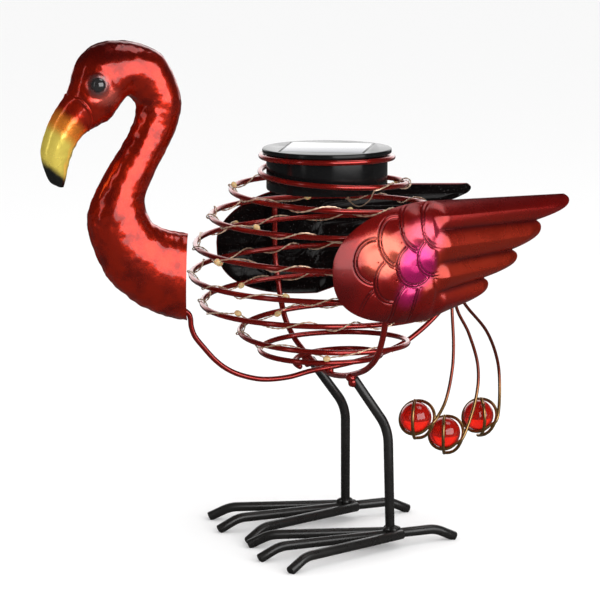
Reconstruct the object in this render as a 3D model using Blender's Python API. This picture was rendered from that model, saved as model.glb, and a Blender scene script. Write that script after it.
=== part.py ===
"""A solar garden light in the shape of a long-necked wading bird, its body a spiral of enamelled wire.

Metres, +Z up. The bird faces -X, and its left side is -Y. The spiral stands round the Z axis while the
pieces are modelled; at the end everything is moved so that the origin is under the middle of the whole.
"""

import math

import bmesh
import bpy
from mathutils import Vector

# Driving dimensions
GAP = 0.0003                # between pieces that touch

COIL_WIRE = 0.0035          # diameters of the wires and rods
KEEL_WIRE = 0.0035
HOOP_WIRE = 0.0039
TAIL_WIRE = 0.0022
LEG_ROD = 0.0064
STRING_WIRE = 0.0010

LID_RADIUS = 0.0420
LID_RIM = 0.0030
LID_BODY_RADIUS = 0.0394
LID_DEPTH = 0.0275
LID_RIM_BEVEL = 0.0007
LID_PLAY = 0.0018           # between the lid's body and the ring that it drops into
PANEL_SIDE = 0.0550
PANEL_THICKNESS = 0.0008
PANEL_TURN = math.radians(-32.0)

COIL_RADIUS = 0.0890        # middle of the wire at the widest turn
COIL_SQUASH = 0.02          # the spiral is a little narrower between the wings
COIL_TOP = 0.2555           # height of the ring that carries the lid
COIL_START = math.radians(156.6)
COIL_POINTS = 18            # for each turn

KEEL_SEAT = 0.1129          # height of the keel where the spiral's inner end lies on it
HOOP_X = 0.0020
HOOP_CLEARANCE = 0.0012
HOOP_TOP = 0.2100

NECK_TO_COIL = 0.0095
NECK_WALL = 0.0012
NECK_SIDES = 12
EYE_RADIUS = 0.0048
EYE_HEIGHT = 0.0030

WING_SHEET = 0.0010
WING_LENGTH = 0.1818        # front edge to the longest feather's tip
WING_HEIGHT = 0.0785
WING_LOW = 0.1563           # lowest point of the shoulder
WING_FRONT = 0.0392         # front edge, ahead of the spiral's middle
WING_TOE_IN = math.radians(9.1)
RIGHT_WING_LOWER = 0.0098   # the right wing is fixed lower than the left one
WING_RIM_INSET = 0.0017     # the rims' plane, inside the middle of the hoop's wire
WING_BULGE = 0.0110
FEATHER_RIDGE = 0.0030
FEATHER_FLATTENING = 0.72   # how much of the bulge is gone at the feathers' tips
SCALE_STEP = 0.0016

LEG_SPREAD = 0.0350         # where the legs meet the hoop, each side of the middle
KNEE_X = 0.0290
KNEE_HEIGHT = 0.0790
KNEE_BEND = 0.0100
FOOT_X = 0.0300
STANCE = 0.0015             # the left foot stands this far ahead, and the right one behind
CLAW_CLEARANCE = 0.0003     # between the two feet's inner claws, each side of the middle
HUB_HEIGHT = 0.0085
TOE_LENGTH = 0.0945
TOE_SPLAY = math.radians(22.0)
HEEL_LENGTH = 0.0491
FOOT_SPREAD = TOE_LENGTH * math.sin(TOE_SPLAY) + LEG_ROD / 2 + CLAW_CLEARANCE
CLAW_LENGTH = 0.0160
CLAW_DROP = math.radians(25.0)

MARBLE_RADIUS = 0.0104
LED_DROP = 0.0042
STRING_FIRST = 1.35         # turns of the spiral from the top
STRING_LAST = 7.4
LED_TURNS = [1.60, 2.02, 2.42, 2.78, 3.15, 3.45, 3.72, 3.87, 4.11, 4.50, 4.90, 5.20, 5.55, 5.88, 6.12, 6.50, 6.85,
             7.25]

MM = 0.001

# Materials: colour, roughness, metallic
FINISHES = {
    "coil_enamel": ((0.36, 0.045, 0.02), 0.30, 0.7),
    "neck_paint": ((0.45, 0.035, 0.02), 0.28, 0.7),
    "wing_paint": ((0.55, 0.03, 0.03), 0.25, 0.7),
    "leg_paint": ((0.012, 0.012, 0.013), 0.45, 0.2),
    "lid_plastic": ((0.01, 0.01, 0.011), 0.15, 0.0),
    "panel_glass": ((0.02, 0.02, 0.035), 0.08, 0.0),
    "eye_gloss": ((0.01, 0.01, 0.01), 0.08, 0.0),
    "marble_glass": ((0.6, 0.01, 0.008), 0.05, 0.0),
    "tail_wire_finish": ((0.35, 0.12, 0.05), 0.35, 0.8),
    "string_metal": ((0.75, 0.70, 0.60), 0.35, 0.8),
}


def clear_scene():
    for obj in list(bpy.data.objects):
        bpy.data.objects.remove(obj, do_unlink=True)


def material(name):
    found = bpy.data.materials.get(name)
    if found:
        return found
    colour, roughness, metallic = FINISHES[name]
    made = bpy.data.materials.new(name)
    made.use_nodes = True
    shader = made.node_tree.nodes["Principled BSDF"]
    shader.inputs["Base Color"].default_value = (*colour, 1.0)
    shader.inputs["Roughness"].default_value = roughness
    shader.inputs["Metallic"].default_value = metallic
    made.diffuse_color = (*colour, 1.0)
    return made


def add_object(name, data, finish, root):
    obj = bpy.data.objects.new(name, data)
    bpy.context.scene.collection.objects.link(obj)
    obj.parent = root
    if finish:
        data.materials.append(material(finish))
    return obj


def mesh_from(name, bm, smooth_angle=40.0):
    mesh = bpy.data.meshes.new(name)
    bmesh.ops.recalc_face_normals(bm, faces=bm.faces)
    bm.to_mesh(mesh)
    bm.free()
    mesh.shade_smooth()
    mesh.set_sharp_from_angle(angle=math.radians(smooth_angle))
    return mesh


def smooth_rows(rows, steps):
    """Points on a smooth curve through every row, with this many steps between two rows."""
    rows = [Vector(row) for row in rows]
    found = []
    for i in range(len(rows) - 1):
        a, b = rows[i], rows[i + 1]
        before = rows[i - 1] if i else a * 2 - b
        after = rows[i + 2] if i + 2 < len(rows) else b * 2 - a
        slope_a, slope_b = (b - before) / 2, (after - a) / 2
        for k in range(steps):
            t = k / steps
            found.append(
                a * (2 * t**3 - 3 * t**2 + 1) + slope_a * (t**3 - 2 * t**2 + t)
                + b * (3 * t**2 - 2 * t**3) + slope_b * (t**3 - t**2)
            )
    found.append(rows[-1])
    return found


def table_value(rows, at):
    """Reads a table of (place, value, ...) smoothly at a place: a cubic through its rows."""
    last = len(rows) - 2
    i = max(k for k in range(last + 1) if rows[k][0] <= at or k == 0)
    a, b = rows[i], rows[i + 1]
    before = rows[max(i - 1, 0)]
    after = rows[min(i + 2, last + 1)]
    span = b[0] - a[0]
    t = (at - a[0]) / span
    values = []
    for k in range(1, len(a)):
        slope_a = (b[k] - before[k]) / (b[0] - before[0]) * span
        slope_b = (after[k] - a[k]) / (after[0] - a[0]) * span
        values.append(
            a[k] * (2 * t**3 - 3 * t**2 + 1) + slope_a * (t**3 - 2 * t**2 + t)
            + b[k] * (3 * t**2 - 2 * t**3) + slope_b * (t**3 - t**2)
        )
    return values


def add_wire(name, points, diameter, finish, root, radii=None, resolution=1):
    """A round wire or rod along points, as a curve with a bevel and closed ends."""
    curve = bpy.data.curves.new(name, "CURVE")
    curve.dimensions = "3D"
    curve.bevel_depth = diameter / 2
    curve.bevel_resolution = resolution
    curve.use_fill_caps = True
    spline = curve.splines.new("POLY")
    spline.points.add(len(points) - 1)
    for i, point in enumerate(points):
        spline.points[i].co = (*point, 1.0)
        spline.points[i].radius = radii[i] if radii else 1.0
    return add_object(name, curve, finish, root)


# The spiral: turns from the top ring, radius as a share of the swell from the ring to the widest turn,
# and height as a share of the way from its inner end up to the ring.
COIL_ROWS = [
    (-0.25, 0.0, 1.0), (0.0, 0.0, 1.0), (0.5, 0.0, 0.992), (1.0, 0.01, 0.928), (1.5, 0.20, 0.868),
    (2.0, 0.42, 0.845), (2.5, 0.52, 0.760), (3.0, 0.71, 0.722), (3.5, 0.92, 0.662), (4.0, 0.935, 0.586),
    (4.5, 1.0, 0.516), (5.0, 1.0, 0.440), (5.5, 0.88, 0.379), (6.0, 0.85, 0.303), (6.5, 0.54, 0.261),
    (7.0, 0.31, 0.165), (7.5, 0.23, 0.113), (8.0, 0.02, 0.073), (8.5, -0.16, 0.056), (9.07, -0.53, 0.0),
]
RING_RADIUS = LID_BODY_RADIUS + LID_PLAY + COIL_WIRE / 2
COIL_BOTTOM = KEEL_SEAT + (COIL_WIRE + KEEL_WIRE) / 2 + GAP


def coil_place(turn, inward=0.0, lower=0.0):
    swell, lift = table_value(COIL_ROWS, turn)
    radius = RING_RADIUS + swell * (COIL_RADIUS - RING_RADIUS) - inward
    angle = COIL_START + turn * math.tau
    height = COIL_BOTTOM + lift * (COIL_TOP - COIL_BOTTOM) - lower
    return Vector((radius * math.cos(angle), radius * math.sin(angle) * (1 - COIL_SQUASH), height))


def coil_chord(turn, inward, lower):
    """A place beside the spiral, measured from the straight steps that the wire is made of."""
    first = COIL_ROWS[0][0]
    step = math.floor((turn - first) * COIL_POINTS + 1e-6)
    a = first + step / COIL_POINTS
    share = (turn - a) * COIL_POINTS
    return coil_place(a, inward, lower).lerp(coil_place(a + 1 / COIL_POINTS, inward, lower), share)


def add_coil(root):
    first, last = COIL_ROWS[0][0], COIL_ROWS[-1][0]
    steps = int((last - first) * COIL_POINTS)
    points = [coil_place(first + k / COIL_POINTS) for k in range(steps + 1)]
    add_wire("coil_body", points, COIL_WIRE, "coil_enamel", root)


def add_light_string(root):
    """Fine wire from the lid's underside, then along the inside of the turns, with a drop at each lamp."""
    lamp = LED_DROP / STRING_WIRE
    inward = (COIL_WIRE + LED_DROP) / 2 + 2 * GAP
    lower = COIL_WIRE / 4
    places = []
    turn = COIL_ROWS[0][0] + round((STRING_FIRST - COIL_ROWS[0][0]) * COIL_POINTS) / COIL_POINTS
    while turn <= STRING_LAST:
        places.append((turn, 1.0))
        turn += 1 / COIL_POINTS
    near = LED_DROP / (2 * math.tau * COIL_RADIUS)
    for turn in LED_TURNS:
        places += [(turn - 1.3 * near, 1.0), (turn, lamp), (turn + 1.3 * near, 1.0)]
    places.sort()
    kept = [places[0]]
    for place in places[1:]:
        if place[0] - kept[-1][0] > near / 2:
            kept.append(place)
        elif place[1] > 1.0:
            kept[-1] = place
    start = coil_chord(kept[0][0], inward, lower)
    lid_bottom = COIL_TOP + COIL_WIRE / 2 + GAP + LID_RIM - LID_DEPTH
    outlet = Vector((start.x * 0.45, start.y * 0.45, lid_bottom - GAP))
    lead = [outlet, outlet + Vector((0, 0, -4 * MM)), outlet.lerp(start, 0.4) + Vector((0, 0, -9 * MM)),
            outlet.lerp(start, 0.8) + Vector((0, 0, -6 * MM))]
    lead = smooth_rows(lead + [start], 2)[:-1]
    points = lead + [coil_chord(turn, inward, lower) for turn, _ in kept]
    radii = [1.0] * len(lead) + [size for _, size in kept]
    add_wire("light_string", points, STRING_WIRE, "string_metal", root, radii, 0)


# The keel wire inside the neck: places from the neck's end, and height above its lower wall, in mm
KEEL_FRONT = [(-13.0, 12.5), (-5.0, 5.4), (0.9, 1.3), (2.75, -2.2), (3.4, -8.0), (5.9, -14.6)]
# Its middle stretch: shares of the spiral's radius, and height above its seat in mm
KEEL_MIDDLE = [
    (-0.975, 22.3), (-0.885, 13.3), (-0.785, 6.3), (-0.665, 1.3), (-0.505, -2.2), (-0.31, -2.2), (-0.13, 0.6),
    (0.09, 2.6), (0.27, 5.0), (0.44, 8.2), (0.62, 13.8), (0.78, 22.5), (0.92, 33.0),
]
NECK_END = -(COIL_RADIUS + NECK_TO_COIL)
NECK_LOW = 0.1540           # lowest corner of the neck's open end
KEEL_REAR = COIL_RADIUS + (COIL_WIRE + KEEL_WIRE) / 2 + GAP
KEEL_REAR_HEIGHT = 0.1740
KEEL_REAR_LEAN = (-0.0015, -0.0180)     # from its rear end to the point before it


def keel_points():
    inside = NECK_LOW + NECK_WALL + KEEL_WIRE / 2 + GAP
    front = [(NECK_END + x * MM, inside + rise * MM) for x, rise in KEEL_FRONT]
    middle = [(share * COIL_RADIUS, KEEL_SEAT + rise * MM) for share, rise in KEEL_MIDDLE]
    rear = [(KEEL_REAR + KEEL_REAR_LEAN[0], KEEL_REAR_HEIGHT + KEEL_REAR_LEAN[1]), (KEEL_REAR, KEEL_REAR_HEIGHT)]
    return smooth_rows([(x, 0.0, z) for x, z in front + middle + rear], 2)


def keel_height(x):
    for a, b in zip(keel_points(), keel_points()[1:]):
        if a.x <= x <= b.x:
            return a.lerp(b, (x - a.x) / (b.x - a.x)).z


def add_keel(root):
    add_wire("keel_wire", keel_points(), KEEL_WIRE, "coil_enamel", root)


# The hoop: shares of its half width, and of its height from the middle to its ends
HOOP_ROWS = [(0.0, 0.0), (0.24, 0.025), (0.46, 0.078), (0.65, 0.145), (0.80, 0.243), (0.885, 0.365),
             (0.945, 0.510), (0.99, 0.640), (1.0, 0.74), (1.0, 1.0)]
HOOP_HALF = COIL_RADIUS * (1 - COIL_SQUASH) + (COIL_WIRE + HOOP_WIRE) / 2 + HOOP_CLEARANCE


def hoop_points():
    bottom = keel_height(HOOP_X) - (KEEL_WIRE + HOOP_WIRE) / 2 - GAP
    side = [(HOOP_X, share * HOOP_HALF, bottom + lift * (HOOP_TOP - bottom)) for share, lift in HOOP_ROWS]
    other = [(x, -y, z) for x, y, z in reversed(side[1:])]
    return smooth_rows(other + side, 2)


def add_hoop(root):
    add_wire("wing_hoop", hoop_points(), HOOP_WIRE, "coil_enamel", root)


def add_lid(root):
    top = COIL_TOP + COIL_WIRE / 2 + GAP + LID_RIM
    profile = [
        (0.0, top), (LID_RADIUS - LID_RIM_BEVEL, top), (LID_RADIUS, top - LID_RIM_BEVEL),
        (LID_RADIUS, top - LID_RIM), (LID_BODY_RADIUS, top - LID_RIM),
        (LID_BODY_RADIUS, top - LID_DEPTH + 1.5 * MM), (LID_BODY_RADIUS - 1.5 * MM, top - LID_DEPTH),
        (0.0, top - LID_DEPTH),
    ]
    bm = bmesh.new()
    corners = [bm.verts.new((radius, 0.0, height)) for radius, height in profile]
    edges = [bm.edges.new(pair) for pair in zip(corners, corners[1:])]
    bmesh.ops.spin(bm, geom=corners + edges, cent=(0, 0, 0), axis=(0, 0, 1), angle=math.tau, steps=32)
    bmesh.ops.remove_doubles(bm, verts=bm.verts, dist=1e-6)
    lid = add_object("solar_lid", mesh_from("solar_lid", bm), "lid_plastic", root)

    bm = bmesh.new()
    bmesh.ops.create_cube(bm, size=1.0)
    pocket = add_object("panel_pocket", mesh_from("panel_pocket", bm), None, root)
    pocket.scale = (PANEL_SIDE + 2 * GAP, PANEL_SIDE + 2 * GAP, 2 * (PANEL_THICKNESS + GAP))
    pocket.location = (0, 0, top)
    pocket.rotation_euler = (0, 0, PANEL_TURN)
    pocket.hide_render = True
    pocket.display_type = "WIRE"
    cut = lid.modifiers.new("panel pocket", "BOOLEAN")
    cut.operation = "DIFFERENCE"
    cut.object = pocket

    bm = bmesh.new()
    bmesh.ops.create_cube(bm, size=1.0)
    bmesh.ops.scale(bm, vec=(PANEL_SIDE, PANEL_SIDE, PANEL_THICKNESS), verts=bm.verts)
    panel = add_object("solar_panel", mesh_from("solar_panel", bm), "panel_glass", root)
    panel.location = (0, 0, top - PANEL_THICKNESS / 2)
    panel.rotation_euler = (0, 0, PANEL_TURN)


# The neck and head: back edge, front edge (both x from the neck's end, and height) and half depth, in mm
NECK_ROWS = [
    (1.6, 209.8, 0.6, 153.8, 15.0), (-10.5, 212.0, -21.5, 161.0, 15.0), (-18.5, 215.0, -39.5, 172.0, 14.5),
    (-24.5, 220.5, -54.5, 188.0, 14.0), (-28.0, 232.0, -65.5, 219.0, 13.0), (-25.5, 242.0, -59.5, 241.0, 12.0),
    (-19.5, 254.0, -43.5, 266.0, 11.0), (-12.5, 266.0, -36.5, 277.5, 10.5), (-5.0, 282.0, -32.8, 288.0, 10.5),
    (-3.2, 298.0, -32.6, 294.5, 11.0), (-13.5, 322.0, -36.5, 298.5, 12.0), (-29.5, 331.5, -39.5, 299.3, 13.0),
    (-45.5, 334.2, -42.5, 296.5, 14.0), (-61.5, 331.3, -46.5, 290.5, 14.5), (-71.5, 321.5, -51.5, 285.0, 13.5),
    (-77.5, 304.5, -64.5, 279.0, 10.5), (-88.5, 287.5, -72.5, 271.0, 8.5), (-95.5, 267.5, -77.5, 260.0, 6.5),
    (-91.0, 249.5, -80.0, 249.0, 4.0), (-84.0, 244.0, -81.5, 243.8, 1.2),
]
NECK_HOLLOW_TO = 15         # the shell is hollow up to this row, and the beak beyond it is solid
NECK_END_CUT = 0.45         # each half's end edge is cut back towards the sides
EYE_ROW = 13.85             # how far along the rows the eyes sit, and how far round from the back edge
EYE_ANGLE = math.radians(79.0)


def neck_ring(bm, row, wall, is_end):
    back = Vector((NECK_END + row[0] * MM, 0.0, row[1] * MM))
    front = Vector((NECK_END + row[2] * MM, 0.0, row[3] * MM))
    middle, reach = (back + front) / 2, (back - front) / 2
    reach *= 1 - wall / reach.length
    depth = row[4] * MM - wall
    ring = []
    for k in range(NECK_SIDES):
        angle = k * math.tau / NECK_SIDES
        point = middle + reach * math.cos(angle) + Vector((0.0, depth * math.sin(angle), 0.0))
        if is_end:
            point.x -= NECK_END_CUT * abs(point.y)
        ring.append(bm.verts.new(point))
    return ring


def bridge(bm, ring_a, ring_b):
    count = len(ring_a)
    for k in range(count):
        bm.faces.new((ring_a[k], ring_a[(k + 1) % count], ring_b[(k + 1) % count], ring_b[k]))


def add_neck(root):
    bm = bmesh.new()
    rows = smooth_rows(NECK_ROWS, 2)
    outer = [neck_ring(bm, row, 0.0, i == 0) for i, row in enumerate(rows)]
    inner = [neck_ring(bm, row, NECK_WALL, i == 0) for i, row in enumerate(rows[: 2 * NECK_HOLLOW_TO - 1])]
    for shell in (outer, inner):
        for ring_a, ring_b in zip(shell, shell[1:]):
            bridge(bm, ring_a, ring_b)
        bm.faces.new(shell[-1])
    bridge(bm, outer[0], inner[0])
    add_object("head_and_neck", mesh_from("head_and_neck", bm), "neck_paint", root)


def head_place(row, angle):
    """A place on the head's skin, at a place along the rows and an angle round from the back edge."""
    values = table_value([(i, *numbers) for i, numbers in enumerate(NECK_ROWS)], row)
    back, front = Vector((values[0], 0.0, values[1])), Vector((values[2], 0.0, values[3]))
    place = (back + front) / 2 + (back - front) / 2 * math.cos(angle)
    return Vector((NECK_END, 0.0, 0.0)) + Vector((place.x, values[4] * math.sin(angle), place.z)) * MM


def add_eyes(root):
    step = 0.05
    along = head_place(EYE_ROW + step, EYE_ANGLE) - head_place(EYE_ROW - step, EYE_ANGLE)
    across = head_place(EYE_ROW, EYE_ANGLE + step) - head_place(EYE_ROW, EYE_ANGLE - step)
    out = along.cross(across).normalized()
    out *= math.copysign(1.0, out.y)
    seat = head_place(EYE_ROW, EYE_ANGLE) + out * GAP
    for name, side in (("left_eye", -1), ("right_eye", 1)):
        bm = bmesh.new()
        bmesh.ops.create_uvsphere(bm, u_segments=10, v_segments=6, radius=EYE_RADIUS)
        flat = bmesh.ops.bisect_plane(
            bm, geom=bm.verts[:] + bm.edges[:] + bm.faces[:], plane_co=(0, 0, 0), plane_no=(0, 0, -1),
            clear_outer=True)
        rim = [item for item in flat["geom_cut"] if isinstance(item, bmesh.types.BMEdge)]
        bmesh.ops.edgeloop_fill(bm, edges=rim)
        bmesh.ops.scale(bm, vec=(1, 1, EYE_HEIGHT / EYE_RADIUS), verts=bm.verts)
        eye = add_object(name, mesh_from(name, bm), "eye_gloss", root)
        eye.location = (seat.x, side * seat.y, seat.z)
        eye.rotation_euler = Vector((out.x, side * out.y, out.z)).to_track_quat("Z", "Y").to_euler()


# The wing in shares of its own length and height: where its feathers' edges start and end, and its tips
FEATHER_ROOT = 0.39
SHOULDER_ROUNDING = (2.6, 2.0)  # of the shoulder's outline, below and above its middle line
FEATHER_STARTS = [1.0, 0.775, 0.508, 0.268, 0.03]
FEATHER_ENDS = [0.96, 0.765, 0.540, 0.332, 0.113]
FEATHER_TIPS = [1.0, 0.868, 0.764, 0.641]
FEATHER_BACK = [0.152, 0.131, 0.148, 0.135]
FEATHER_LINES = [0.0, 0.2, 0.45, 0.7, 0.88]     # lines along each feather, across its width
SHOULDER_COLUMNS = [0.0, 0.045, 0.12, 0.22, 0.33, 0.45, 0.57, 0.69, 0.81, 0.91]
FEATHER_COLUMNS = [0.0, 0.12, 0.28, 0.46, 0.64, 0.82, 0.94, 1.0]
SCALES = [                  # middle and half width of each scale, as shares of the length and the height
    (0.17, 0.56, 0.085), (0.205, 0.80, 0.075), (0.335, 0.86, 0.075), (0.17, 0.27, 0.080),
    (0.285, 0.42, 0.085), (0.30, 0.15, 0.075), (0.345, 0.60, 0.075), (0.365, 0.32, 0.070),
]


def feather_end(feather, across):
    """How far along the wing this feather reaches, at a share of its width from its upper edge."""
    crown = 0.2
    if across < crown:
        back = 0.12 * ((crown - across) / crown) ** 2
    else:
        back = ((across - crown) / (1 - crown)) ** 2.2
    return FEATHER_TIPS[feather] - FEATHER_BACK[feather] * back


def shoulder_half(along, upper):
    """Height of the shoulder's edge above or below its middle line, both in shares."""
    reach = max(0.0, 1 - along / FEATHER_ROOT)
    power = SHOULDER_ROUNDING[upper]
    return max(0.0, 1 - reach**power) ** (1 / power)


def scale_relief(along, up):
    """Each scale is a low pillow, with a valley between it and the next."""
    relief = 0.0
    for centre, middle, half in SCALES:
        across = (along - centre) / half
        rise = (up - middle) / (half * WING_LENGTH / WING_HEIGHT * 1.15)
        relief = max(relief, SCALE_STEP * (1 - min(1.0, math.hypot(across, rise)) ** 3))
    return relief


def wing_height(along, up, offset, feather_share, across):
    """How far the sheet stands out from the plane of its rims."""
    reach = max(0.0, 1 - along / FEATHER_ROOT)
    power = SHOULDER_ROUNDING[offset > 0]
    rise = abs(offset) * shoulder_half(along, offset > 0)
    edge = min(1.0, (reach**power + rise**power) ** (1 / power))
    dome = WING_BULGE * (1 - edge**3)
    if feather_share > 0:
        flute = FEATHER_RIDGE * (1 - abs(2 * across - 1) ** 2.5) * min(1.0, 3 * feather_share)
        return dome * (1 - FEATHER_FLATTENING * feather_share) + flute
    return dome + scale_relief(along, up) * (1 - edge**4)


def wing_grid():
    """Rows of (along, up, out), all in metres, from the wing's upper edge to its lower edge."""
    lines = [(feather, across) for feather in range(4) for across in FEATHER_LINES] + [(3, 1.0)]
    middle = (FEATHER_STARTS[0] + FEATHER_STARTS[4]) / 2
    half = (FEATHER_STARTS[0] - FEATHER_STARTS[4]) / 2
    rows = []
    for feather, across in lines:
        start = FEATHER_STARTS[feather] + across * (FEATHER_STARTS[feather + 1] - FEATHER_STARTS[feather])
        end = FEATHER_ENDS[feather] + across * (FEATHER_ENDS[feather + 1] - FEATHER_ENDS[feather])
        offset = (start - middle) / half
        row = []
        for column in SHOULDER_COLUMNS:
            along = FEATHER_ROOT * column
            up = middle + offset * half * shoulder_half(along, offset > 0)
            row.append((along, up, wing_height(along, up, offset, 0.0, across)))
        tip = feather_end(feather, across)
        for column in FEATHER_COLUMNS:
            along = FEATHER_ROOT + (tip - FEATHER_ROOT) * column
            up = start + (end - start) * column
            row.append((along, up, wing_height(along, up, offset, column, across)))
        rows.append([(a * WING_LENGTH, WING_LOW + u * WING_HEIGHT, out) for a, u, out in row])
    return rows


def add_wing(name, side, lower, root):
    """One wing: side is -1 for the bird's left and 1 for its right."""
    forward = Vector((math.cos(WING_TOE_IN), -side * math.sin(WING_TOE_IN), 0.0))
    outward = Vector((math.sin(WING_TOE_IN), side * math.cos(WING_TOE_IN), 0.0))
    front_y = HOOP_HALF - WING_RIM_INSET + (WING_FRONT + HOOP_X) * math.tan(WING_TOE_IN)
    front = Vector((-WING_FRONT, side * front_y, 0.0))
    bm = bmesh.new()
    rows = []
    nose = None
    for row in wing_grid():
        verts = []
        for i, (along, up, out) in enumerate(row):
            if i == 0 and nose:
                verts.append(nose)
                continue
            vert = bm.verts.new(front + forward * along + outward * out + Vector((0, 0, up - lower)))
            if i == 0:
                nose = vert
            verts.append(vert)
        rows.append(verts)
    for upper, lower in zip(rows, rows[1:]):
        for i in range(len(upper) - 1):
            corners = [upper[i], upper[i + 1], lower[i + 1], lower[i]]
            if i == 0:
                corners = corners[:3]
            bm.faces.new(corners if side > 0 else reversed(corners))
    mesh = bpy.data.meshes.new(name)
    bm.to_mesh(mesh)
    bm.free()
    mesh.shade_smooth()
    wing = add_object(name, mesh, "wing_paint", root)
    sheet = wing.modifiers.new("sheet", "SOLIDIFY")
    sheet.thickness = WING_SHEET
    sheet.offset = -1.0


def cut_below(bm, height):
    """Cuts a closed mesh off flat at a height and closes it."""
    cut = bmesh.ops.bisect_plane(
        bm, geom=bm.verts[:] + bm.edges[:] + bm.faces[:], plane_co=(0, 0, height), plane_no=(0, 0, -1),
        clear_outer=True)
    edges = [item for item in cut["geom_cut"] if isinstance(item, bmesh.types.BMEdge)]
    if edges:
        bmesh.ops.edgeloop_fill(bm, edges=edges)


def rod_mesh(name, points, radius, sides=8, floor=None):
    """A closed rod along points in one upright plane, with mitred bends, cut off flat at the floor."""
    bm = bmesh.new()
    points = [Vector(point) for point in points]
    across = (points[1] - points[0]).cross(Vector((0, 0, 1))).normalized()
    if across.length < 0.5:
        across = Vector((0, 1, 0))
    rings = []
    for i, point in enumerate(points):
        before = (point - points[i - 1]).normalized() if i else (points[1] - point).normalized()
        after = (points[i + 1] - point).normalized() if i + 1 < len(points) else before
        along = (before + after).normalized()
        up = across.cross(along).normalized() / max(0.5, along.dot(before))
        ring = []
        for k in range(sides):
            angle = (k + 0.5) * math.tau / sides
            ring.append(bm.verts.new(point + radius * (across * math.cos(angle) + up * math.sin(angle))))
        rings.append(ring)
    for ring_a, ring_b in zip(rings, rings[1:]):
        bridge(bm, ring_a, ring_b)
    bm.faces.new(rings[0])
    bm.faces.new(rings[-1])
    if floor is not None:
        cut_below(bm, floor)
    return mesh_from(name, bm)


def claw_points(start, direction, length):
    """A toe's middle line: level from its start, then dropping to the floor at its claw."""
    bend = start + direction * (length - CLAW_LENGTH)
    drop = direction * math.cos(CLAW_DROP) + Vector((0, 0, -math.sin(CLAW_DROP)))
    return [start, bend, bend + drop * CLAW_LENGTH]


def add_foot(word, side, root):
    """Toes and heel of one foot, welded to a level middle rod under the shank."""
    hub = Vector((FOOT_X + side * STANCE, side * FOOT_SPREAD, HUB_HEIGHT))
    radius = LEG_ROD / 2
    front, back = Vector((-1, 0, 0)), Vector((1, 0, 0))
    add_object(f"{word}_middle_toe", rod_mesh("middle_toe", claw_points(hub, front, TOE_LENGTH), radius, 8, 0.0),
               "leg_paint", root)
    heel_start = hub + back * GAP
    add_object(f"{word}_heel_toe", rod_mesh("heel_toe", claw_points(heel_start, back, HEEL_LENGTH), radius, 8, 0.0),
               "leg_paint", root)
    weld = add_object(f"{word}_weld_line", rod_mesh("weld_line", [hub + front * TOE_LENGTH, hub + back * HEEL_LENGTH],
                                                    radius + GAP), None, root)
    weld.hide_render = True
    weld.display_type = "WIRE"
    for place, turn in (("inner", side), ("outer", -side)):
        direction = Vector((-math.cos(TOE_SPLAY), -turn * math.sin(TOE_SPLAY), 0))
        start = hub + direction * radius
        toe = add_object(f"{word}_{place}_toe", rod_mesh(f"{place}_toe", claw_points(start, direction,
                         TOE_LENGTH - radius), radius, 8, 0.0), "leg_paint", root)
        cope = toe.modifiers.new("cope", "BOOLEAN")
        cope.operation = "DIFFERENCE"
        cope.object = weld


def add_leg(word, side, root):
    hoop = min(hoop_points(), key=lambda point: abs(point.y - side * LEG_SPREAD))
    knee = Vector((KNEE_X + side * STANCE, side * (LEG_SPREAD + FOOT_SPREAD) / 2, KNEE_HEIGHT))
    hub = Vector((FOOT_X + side * STANCE, side * FOOT_SPREAD, HUB_HEIGHT + LEG_ROD / 2 + GAP))
    thigh = (knee - hoop).normalized()
    shank = (hub - knee).normalized()
    top = hoop + thigh * (HOOP_WIRE / 2 + GAP + LEG_ROD / 16)
    bend = [knee - thigh * KNEE_BEND, knee - thigh * KNEE_BEND * 0.35 + shank * KNEE_BEND * 0.1,
            knee - thigh * KNEE_BEND * 0.1 + shank * KNEE_BEND * 0.35, knee + shank * KNEE_BEND]
    add_wire(f"{word}_leg", [top, *bend, hub], LEG_ROD, "leg_paint", root, resolution=2)


# The tail: each wire's stem as offsets from its root behind the keel, in mm, and its marble
TAILS = [
    {"root": (-1.5, -3.8), "stem": [(-4.0, -6.0, -22.0), (-4.6, -10.0, -48.0), (-7.0, -13.0, -66.0),
                                    (-14.0, -18.0, -84.5)], "marble": (-33.5, -13.0, -95.3), "lean": -12.0},
    {"root": (4.0, 0.0), "stem": [(2.0, 0.0, -24.0), (12.0, 0.0, -44.5), (18.5, -1.0, -67.0),
                                  (15.5, -4.5, -88.0)], "marble": (-5.4, 0.0, -110.9), "lean": -8.0},
    {"root": (-1.5, 3.8), "stem": [(11.0, 6.0, -24.0), (30.0, 10.0, -45.0), (39.8, 12.0, -66.0),
                                   (41.0, 10.0, -86.0)], "marble": (26.5, 13.0, -104.3), "lean": 14.0},
]
# Each cage is a loop that leans back to one side, then a half loop up over the marble's outer face
CAGE_FACING = Vector((-0.39, -0.92, 0.0)).normalized()
CAGE_RIGHT = Vector((0.92, -0.39, 0.0)).normalized()
CAGE_UP = Vector((0.0, 0.0, 1.0))
CAGE_TILT = math.radians(40.0)
CAGE_TURNS = 1.63
CAGE_POINTS = 14


def smooth_step(value, low, high):
    share = min(1.0, max(0.0, (value - low) / (high - low)))
    return share * share * (3 - 2 * share)


def cage_place(turn, lean):
    """The direction from a marble's middle to its wire, and how many wires it lies over there."""
    angle = turn * math.tau
    side = (CAGE_RIGHT - CAGE_UP).normalized() * math.cos(CAGE_TILT) + CAGE_FACING * math.sin(CAGE_TILT)
    first = side * math.cos(angle) - (CAGE_RIGHT + CAGE_UP).normalized() * math.sin(angle)
    front = CAGE_FACING * math.cos(lean) + CAGE_RIGHT * math.sin(lean)
    angle -= 1.125 * math.tau
    second = front * math.sin(angle) - CAGE_UP * math.cos(angle)
    return first.lerp(second, smooth_step(turn, 0.92, 1.2)).normalized(), smooth_step(turn, 0.62, 0.94)


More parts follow.
